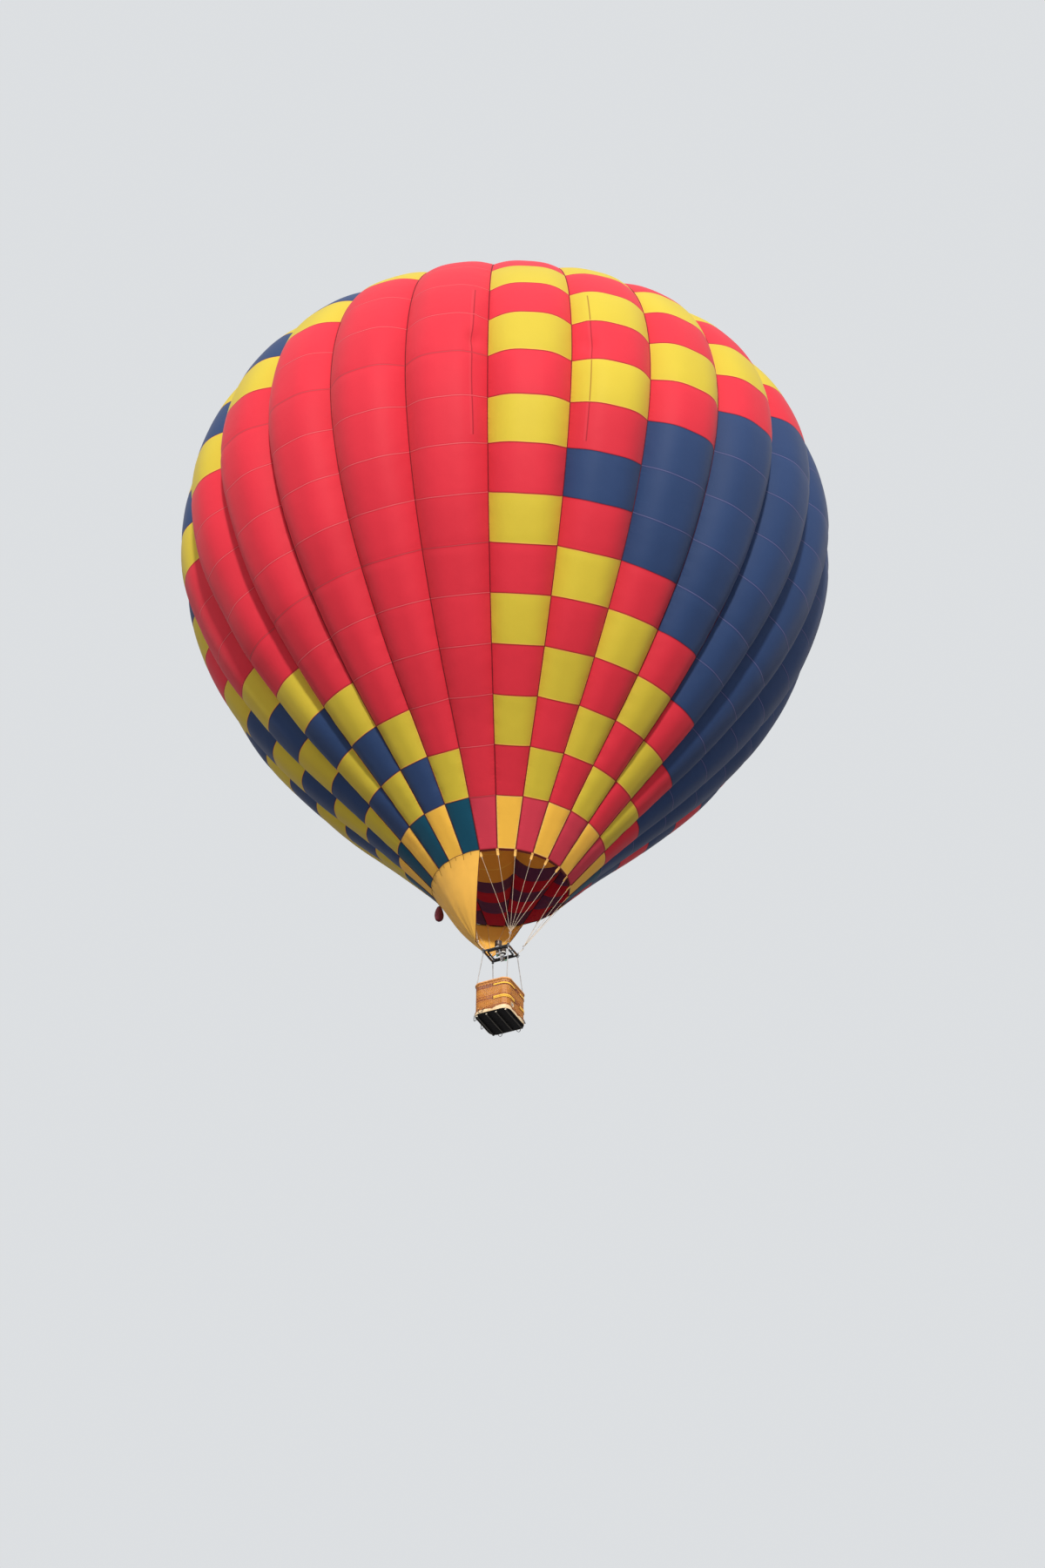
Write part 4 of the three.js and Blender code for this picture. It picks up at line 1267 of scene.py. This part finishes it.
def make_stakes(rng):
    """Upright willow rods, cut short over and under a step hole."""
    total, at = perimeter(WALL / 2)
    hole_bottom, hole_top = STEP_HOLE_Z - STEP_HOLE[1] / 2, STEP_HOLE_Z + STEP_HOLE[1] / 2
    stakes = Shape()
    for i in range(STAKES):
        p, _ = at(total * i / STAKES)
        if in_step_hole(p, STEP_HOLE_Z):
            for low, high in ((WALL_BOTTOM, hole_bottom), (hole_top, WALL_TOP)):
                stakes.tube([p + lift(low), p + lift(high)], STAKE_RADIUS, 6, 0, 0.6)
        else:
            path = [p + lift(z) for z in np.linspace(WALL_BOTTOM, WALL_TOP, 7)]
            stakes.tube(path, STAKE_RADIUS, 6, 0, rng.uniform(0.2, 0.9))
    stakes.make("wicker_stakes", [WICKER])


wicker_random = random.Random(7)
make_weave(wicker_random)
make_stakes(wicker_random)


def make_step_trim():
    """Leather binding round each step hole."""
    shape = Shape()
    angles = circle_angles(48)
    ways = np.stack([np.cos(angles), np.sin(angles)], -1)
    loop = (np.array(STEP_HOLE) / 2 - 0.004) * np.sign(ways) * np.abs(ways) ** 0.35
    for side in (-1, 1):
        x = side * (BASKET_X / 2 - WALL / 2)
        path = [(x, STEP_HOLE_Y + y, STEP_HOLE_Z + z) for y, z in loop]
        shape.tube(path, 0.019, closed=True, flat=0.42, up=(1, 0, 0))
        for y, z in loop[::2]:
            stitch = [(x + side * out, STEP_HOLE_Y + y * grow, STEP_HOLE_Z + z * grow)
                      for out, grow in ((0.017, 1.12), (0.019, 0.96))]
            shape.tube(stitch, 0.0018, 4, 1)
    shape.make("step_hole_binding", [HIDE, LACE])


make_step_trim()

RIM_STEPS = 180
RIM_SIDES = 16
RIM_REACH = 0.0365
RIM_LACES = 110


def make_rim():
    """The padded roll on the wall, laced from below."""
    total, at = perimeter(WALL / 2)
    middle = (RIM_TOP + RIM_BOTTOM) / 2
    tall = (RIM_TOP - RIM_BOTTOM) / 2
    wrinkle = waves(8, 3, 0.12)
    rings = []
    for i in range(RIM_STEPS):
        s = total * i / RIM_STEPS
        p, normal = at(s)
        dent = 0.02 * (0.5 + 0.5 * math.cos(s * 2 * math.pi / 0.55)) ** 8
        ring = []
        for a in circle_angles(RIM_SIDES):
            swell = 1 + 0.025 * wrinkle(s, a * 0.06) - dent
            out = normal * RIM_REACH * swell * math.cos(a)
            ring.append(p + out + lift(middle + tall * swell * math.sin(a)))
        rings.append(ring)
    shape = Shape()
    shape.skin(rings, closed=True)
    for i in range(RIM_LACES):
        s = total * (i + 0.5) / RIM_LACES
        for side in (-1, 1):
            arc = []
            for k, a in enumerate(np.linspace(-1.35, -0.30, 5)):
                p, normal = at(s + 0.010 * (k - 2) / 2)
                out = normal * side * (RIM_REACH + 0.003) * math.cos(a)
                arc.append(p + out + lift(middle + (tall + 0.0015) * math.sin(a)))
            shape.tube(arc, 0.0024, 4, 1)
    rim = shape.make("rim_roll", [RIM_LEATHER, LACE], replaces=["basket_rim"])


make_rim()

# Lobes of the hide: start and end as shares of the outline, height
SKIRT_LOBES = [(-0.035, 0.088, 0.62), (0.092, 0.248, 1.0), (0.252, 0.330, 0.40), (0.334, 0.440, 0.72),
               (0.444, 0.590, 1.0), (0.594, 0.680, 0.55), (0.684, 0.800, 0.95), (0.804, 0.960, 0.70)]
SKIRT_STEPS = 300
SKIRT_LEVELS = 8
SKIRT_OUTER = 0.0035
SKIRT_INNER = -0.0030


def crest(share):
    """Share of the full height: the hide's upper edge is a row of uneven lobes."""
    best = 0.0
    for start, end, height in SKIRT_LOBES:
        t = ((share - start) % 1.0) / (end - start)
        if t < 1.0:
            best = max(best, height * math.sin(math.pi * t) ** 0.45)
    return 0.44 + 0.56 * best


def make_skirt():
    """Scalloped hide round the foot of the basket, laced to the weave."""
    total, at = perimeter(-0.004)
    bottom, top = heights("hide_skirt")
    wave = waves(8, 12, 0.3)
    rings = []
    for i in range(SKIRT_STEPS):
        s = total * i / SKIRT_STEPS
        p, normal = at(s)
        edge = bottom + (top - bottom) * crest(i / SKIRT_STEPS)
        ring = []
        for t in np.linspace(0, 1, SKIRT_LEVELS + 1):
            z = bottom + (edge - bottom) * t
            push = SKIRT_OUTER + 0.0022 * wave(s, z) + 0.002 * math.sin(math.pi * t)
            ring.append(p + normal * push + lift(z))
        rings.append(ring + [p + normal * SKIRT_INNER + lift(z) for z in (edge, bottom)])
    edge_points = [ring[SKIRT_LEVELS] for ring in rings]
    shape = Shape()
    shape.skin(rings, closed=True)
    shape.tube([q - lift(0.001) for q in edge_points[::2]], 0.0045, 6, 1, closed=True)
    for i in range(0, SKIRT_STEPS, 3):
        _, normal = at(total * i / SKIRT_STEPS)
        foot = edge_points[i] - lift(0.012) + normal * 0.003
        q, out = at(total * (i + 2) / SKIRT_STEPS)
        z = edge_points[(i + 2) % SKIRT_STEPS][2]
        head = q + out * 0.010 + lift(z + 0.022)
        shape.tube([foot, (foot + head) / 2 + normal * 0.002, head, q + lift(z + 0.028)], 0.0032, 5, 2)
    shape.make("hide_trim", [HIDE, RIM_LEATHER, LACE], replaces=["hide_skirt"])


make_skirt()

# Rope handles: the side's direction, and the place along that side
HANDLES = [((-1, 0), -0.36), ((-1, 0), 0.10), ((0, 1), -0.30), ((1, 0), 0.36), ((0, 1), 0.28)]
HANDLES.append(((0, -1), -0.29))
HANDLE_UP = 0.215
HANDLE_HALF = 0.080
HANDLE_REACH = 0.088
HANDLE_DROP = 0.195


def make_handles():
    """Rope handles low on the basket, each of three strands."""
    shape = Shape()
    washer = [(0.010, -0.006), (0.017, -0.003), (0.017, 0.003), (0.010, 0.006)]
    for (x, y), along in HANDLES:
        normal = np.array([x, y, 0.0])
        tangent = np.array([-y, x, 0.0])
        half = BASKET_X / 2 if x else BASKET_Y / 2
        root = normal * half + np.abs(tangent) * along + lift(BASKET_BOTTOM + HANDLE_UP)
        path = []
        for a in np.linspace(0, math.pi, 26):
            out = HANDLE_REACH * math.sin(a) ** 0.6 - 0.012
            drop = HANDLE_DROP * math.sin(a) ** 0.8
            path.append(root + tangent * HANDLE_HALF * math.cos(a) + normal * out - lift(drop))
        count = len(path) * 3
        for strand in range(3):
            twisted = []
            for k in range(count):
                t = k / (count - 1) * (len(path) - 1)
                i = min(int(t), len(path) - 2)
                p = path[i] + (path[i + 1] - path[i]) * (t - i)
                turn = k * 0.75 + strand * 2 * math.pi / 3
                twisted.append(p + (tangent * math.cos(turn) + normal * math.sin(turn)) * 0.0045)
            shape.tube(twisted, 0.0056, 6, 0, 0.3 + 0.2 * strand)
        for end in (path[0], path[-1]):
            shape.lathe(washer, end + normal * 0.014, 14, 1, axis=normal)
    shape.make("rope_handles", [ROPE, RIM_LEATHER])


make_handles()

# Tank straps: height over the basket's foot and width
STRAPS = [(0.912, 0.050), (0.500, 0.042), (0.452, 0.030)]
STRAP_REACH = 0.43
STRAP_INSET = -0.002


def make_tank_straps():
    """Webbing straps that come out of the weave and pass round a corner outside it."""
    _, at = perimeter(STRAP_INSET)
    shape = Shape()
    straight_x = BASKET_X - 2 * BASKET_CORNER
    straight_y = BASKET_Y - 2 * BASKET_CORNER
    arc = math.pi * (BASKET_CORNER - STRAP_INSET) / 2
    # Length along the outline from the front's left end to the middle of each corner
    first = straight_x + arc / 2
    second = first + arc + straight_y
    for middle in (first, second, second + arc + straight_x):
        ends = middle - STRAP_REACH, middle + STRAP_REACH
        for up, width in STRAPS:
            level = lift(BASKET_BOTTOM + up)
            path, ups = [], []
            for s in np.linspace(*ends, 60):
                p, normal = at(s)
                dip = min(1.0, (STRAP_REACH - abs(s - middle)) / 0.030)
                out = (0.0055 + 0.002 * math.sin(s * 60)) * dip - 0.012 * (1 - dip)
                path.append(p + normal * out + level)
                ups.append(normal)
            shape.ribbon(path, ups, width, 0.0035)
            for s in ends:
                p, normal = at(s)
                shape.block(p + normal * 0.004 + level, (0.016, 0.016, width + 0.016), 0.004, 1)
    shape.make("tank_straps", [STRAP_YELLOW, LACE])


make_tank_straps()


def make_runner_edges():
    """Wear strips with studs under the runners, and pale plates with screws on their ends."""
    shape = Shape()
    half = RUNNER_LENGTH / 2
    stud = [(0.0, 0.0), (0.005, 0.0), (0.004, 0.0018), (0.0, 0.002)]
    screw = [(0.0, 0.0), (0.005, 0.0), (0.004, 0.0025), (0.0, 0.003)]
    for x in (step * RUNNER_SPACING for step in RUNNER_STEPS):
        path = [(x, y, BASKET_BOTTOM + 0.0012) for y in np.linspace(-half, half, 12)]
        shape.ribbon(path, (0, 0, -1), 0.030, 0.0045, 2)
        for y in np.linspace(-half + 0.05, half - 0.05, 7):
            shape.lathe(stud, (x, y, BASKET_BOTTOM - 0.0008), 10, 1, axis=(0, 0, -1))
        for end in (-1, 1):
            shape.block((x, end * (half + 0.0015), BASKET_BOTTOM + 0.024), (0.046, 0.005, 0.040), 0.002)
            for z in (0.014, 0.034):
                shape.lathe(screw, (x, end * (half + 0.004), BASKET_BOTTOM + z), 10, 1, axis=(0, end, 0))
    shape.make("runner_edges", [RUNNER_EDGE, STEEL, WEAR_STRIP])


make_runner_edges()

# Tanks

TANK_RADIUS = 0.148
TANK_TOP_RADIUS = 0.106
TANK_FOOT_RADIUS = 0.136


def tank_top(name):
    low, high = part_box(f"tank_{name}")
    return np.array([(low.x + high.x) / 2, (low.y + high.y) / 2, high.z])


def make_tank_body(name):
    """A cylinder with a narrower foot and a rounded shoulder up to its collar."""
    bottom, top = heights(f"tank_{name}")
    foot = bottom - top
    profile = [(0.0, foot), (TANK_FOOT_RADIUS, foot)]
    profile += [(TANK_FOOT_RADIUS, foot + 0.05), (TANK_RADIUS, foot + 0.09)]
    for a in np.linspace(0, math.pi / 2, 9):
        shoulder = (TANK_RADIUS - TANK_TOP_RADIUS) * math.cos(a)
        profile.append((TANK_TOP_RADIUS + shoulder, -0.16 + 0.08 * math.sin(a)))
    profile += [(TANK_TOP_RADIUS, 0.0), (0.0, 0.0)]
    shape = Shape()
    shape.lathe(profile, tank_top(name), 48)
    shape.make(f"tank_body_{name}", [ALUMINIUM], replaces=[f"tank_{name}"])


def make_tank_fittings():
    """Collars, yellow bands, valves with hand wheels and gauges of all tanks."""
    collar = [(0.104, -0.075), (0.110, -0.075), (0.112, -0.010)]
    collar += [(0.110, -0.002), (0.104, -0.002), (0.101, -0.010)]
    valve_body = [(0.0, 0.0), (0.020, 0.0), (0.020, 0.012), (0.013, 0.016), (0.013, 0.034), (0.0, 0.034)]
    gauge_body = [(0.0, 0.0), (0.030, 0.0), (0.030, 0.014), (0.026, 0.018), (0.024, 0.014), (0.0, 0.014)]
    shape = Shape()
    for top in map(tank_top, TANKS):
        shape.lathe(collar, top + lift(0.060), 32)
        for z in (-0.30, -0.58):
            band = [(0.1485, z), (0.1505, z + 0.004), (0.1505, z + 0.036), (0.1485, z + 0.040)]
            shape.lathe(band, top, 36, 1)
        valve = top + (0.03, 0, 0)
        shape.lathe(valve_body, valve, 8, 2)
        shape.tube(circle(valve + lift(0.044), 0.026, 20), 0.005, 6, 3, closed=True)
        shape.tube([valve + (x, 0, 0.044) for x in (-0.026, 0.026)], 0.004, 6, 3)
        shape.tube([valve + lift(0.03), valve + lift(0.045)], 0.005, 6, 2)
        gauge = top - (0.045, 0, 0)
        shape.lathe(gauge_body, gauge, 24, 2)
        shape.tube([gauge + lift(0.0145), gauge + (0.016, 0.006, 0.0150)], 0.0012, 4, 1)
    shape.make("tank_fittings", [ALUMINIUM, STRAP_YELLOW, BRASS, BLACK_PAINT])


for tank_name in TANKS:
    make_tank_body(tank_name)
make_tank_fittings()

# Materials of the solids that stay

for node, material in {
    "mouth_band": MOUTH_TAPE,
    "load_frame": BLACK_PAINT,
    "gimbal_frame": BLACK_PAINT,
    "burner_block": STEEL,
    "basket_floor": PLYWOOD,
}.items():
    NODES[node].data.materials.clear()
    NODES[node].data.materials.append(material)

# Camera, light and floor

CAMERA_TURN = math.radians(25.86)  # from the +Y axis towards -X
CAMERA_RISE = math.radians(35.52)
CAMERA_ROLL = math.radians(0.584)
CAMERA_DISTANCE = 145.04
AIM = lift(MOUTH_Z + MIDDLE_ROW * ROW)
AIM_PIXEL = (580.45, 657.53)
PICTURE = (1200, 1801)
FOCAL_PIXELS = 5472
SENSOR = 36.0
FLOOR_RADIUS = 900.0
FLOOR_DROP = 0.6  # under the camera
FLOOR_SIDES = 96


def make_camera():
    """The photo's camera, placed so that the aimed point falls on its pixel."""
    ahead = np.array([-math.sin(CAMERA_TURN), math.cos(CAMERA_TURN), 0.0])
    right = np.array([math.cos(CAMERA_TURN), math.sin(CAMERA_TURN), 0.0])
    forward = ahead * math.cos(CAMERA_RISE) + lift(math.sin(CAMERA_RISE))
    level_up = -ahead * math.sin(CAMERA_RISE) + lift(math.cos(CAMERA_RISE))
    c, s = math.cos(CAMERA_ROLL), math.sin(CAMERA_ROLL)
    side = c * right + s * level_up
    top = -s * right + c * level_up
    view_x = (AIM_PIXEL[0] - PICTURE[0] / 2) / FOCAL_PIXELS
    view_y = (PICTURE[1] / 2 - AIM_PIXEL[1]) / FOCAL_PIXELS
    place = AIM - CAMERA_DISTANCE * unit(forward + view_x * side + view_y * top)
    data = bpy.data.cameras.new("camera")
    data.sensor_width = SENSOR
    data.lens = FOCAL_PIXELS / PICTURE[1] * SENSOR
    data.clip_start = 1.0
    data.clip_end = 2000.0
    camera = bpy.data.objects.new("camera", data)
    rows = np.column_stack([side, top, -forward, place]).tolist()
    camera.matrix_world = Matrix([*rows, (0, 0, 0, 1)])
    bpy.context.scene.collection.objects.link(camera)
    bpy.context.scene.camera = camera
    return place


def shine(name, azimuth, rise, energy, angle, colour):
    """A far lamp. Azimuth, rise over the horizon and the lamp's width are in degrees."""
    sun = bpy.data.lights.new(name, "SUN")
    sun.energy = energy
    sun.angle = math.radians(angle)
    sun.color = colour
    lamp = bpy.data.objects.new(name, sun)
    towards = polar(azimuth, math.cos(math.radians(rise)), math.sin(math.radians(rise)))
    lamp.rotation_mode = "QUATERNION"
    lamp.rotation_quaternion = Vector(towards).to_track_quat("Z", "Y")
    bpy.context.scene.collection.objects.link(lamp)


def make_light():
    shine("key", azimuth=27.0, rise=14.0, energy=3.05, angle=5.0, colour=(1.0, 0.96, 0.90))
    shine("fill", azimuth=25.0, rise=22.0, energy=1.25, angle=170.0, colour=(1.0, 0.96, 0.94))
    world = bpy.data.worlds.new("studio")
    world.use_nodes = True
    tree = world.node_tree
    soft = tree.nodes["Background"]
    soft.inputs[0].default_value = (0.94, 0.93, 0.96, 1)
    # Brighter from above than from below
    parts = tree.nodes.new("ShaderNodeSeparateXYZ")
    tree.links.new(tree.nodes.new("ShaderNodeTexCoord").outputs["Generated"], parts.inputs[0])
    level = tree.nodes.new("ShaderNodeMapRange")
    level.interpolation_type = "SMOOTHSTEP"
    for key, value in {"From Min": -0.4, "From Max": 0.5, "To Min": 0.16, "To Max": 0.84}.items():
        level.inputs[key].default_value = value
    tree.links.new(parts.outputs[2], level.inputs["Value"])
    tree.links.new(level.outputs[0], soft.inputs[1])
    # The camera sees an even pale grey
    seen = tree.nodes.new("ShaderNodeBackground")
    seen.inputs[0].default_value = (0.72, 0.74, 0.76, 1)
    path = tree.nodes.new("ShaderNodeLightPath")
    both = tree.nodes.new("ShaderNodeMixShader")
    tree.links.new(path.outputs["Is Camera Ray"], both.inputs[0])
    tree.links.new(soft.outputs[0], both.inputs[1])
    tree.links.new(seen.outputs[0], both.inputs[2])
    tree.links.new(both.outputs[0], tree.nodes["World Output"].inputs[0])
    bpy.context.scene.world = world
    bpy.context.scene.view_settings.view_transform = "Standard"


def make_floor(height):
    mesh = bpy.data.meshes.new("floor")
    ring = circle(lift(height), FLOOR_RADIUS, FLOOR_SIDES)
    mesh.from_pydata([p.tolist() for p in ring], [], [tuple(range(FLOOR_SIDES))])
    f = Finish("pale_floor", 0.9)
    mesh.materials.append(f.done(f.shade([0.56, 0.56, 0.55, 1], 0.97, 1.02, f.noise(0.02, 4.0))))
    floor = bpy.data.objects.new("floor", mesh)
    # The balloon hangs far above the floor, which throws no light up at it
    floor.visible_diffuse = False
    floor.visible_glossy = False
    bpy.context.scene.collection.objects.link(floor)


camera_place = make_camera()
make_light()
make_floor(camera_place[2] - FLOOR_DROP)
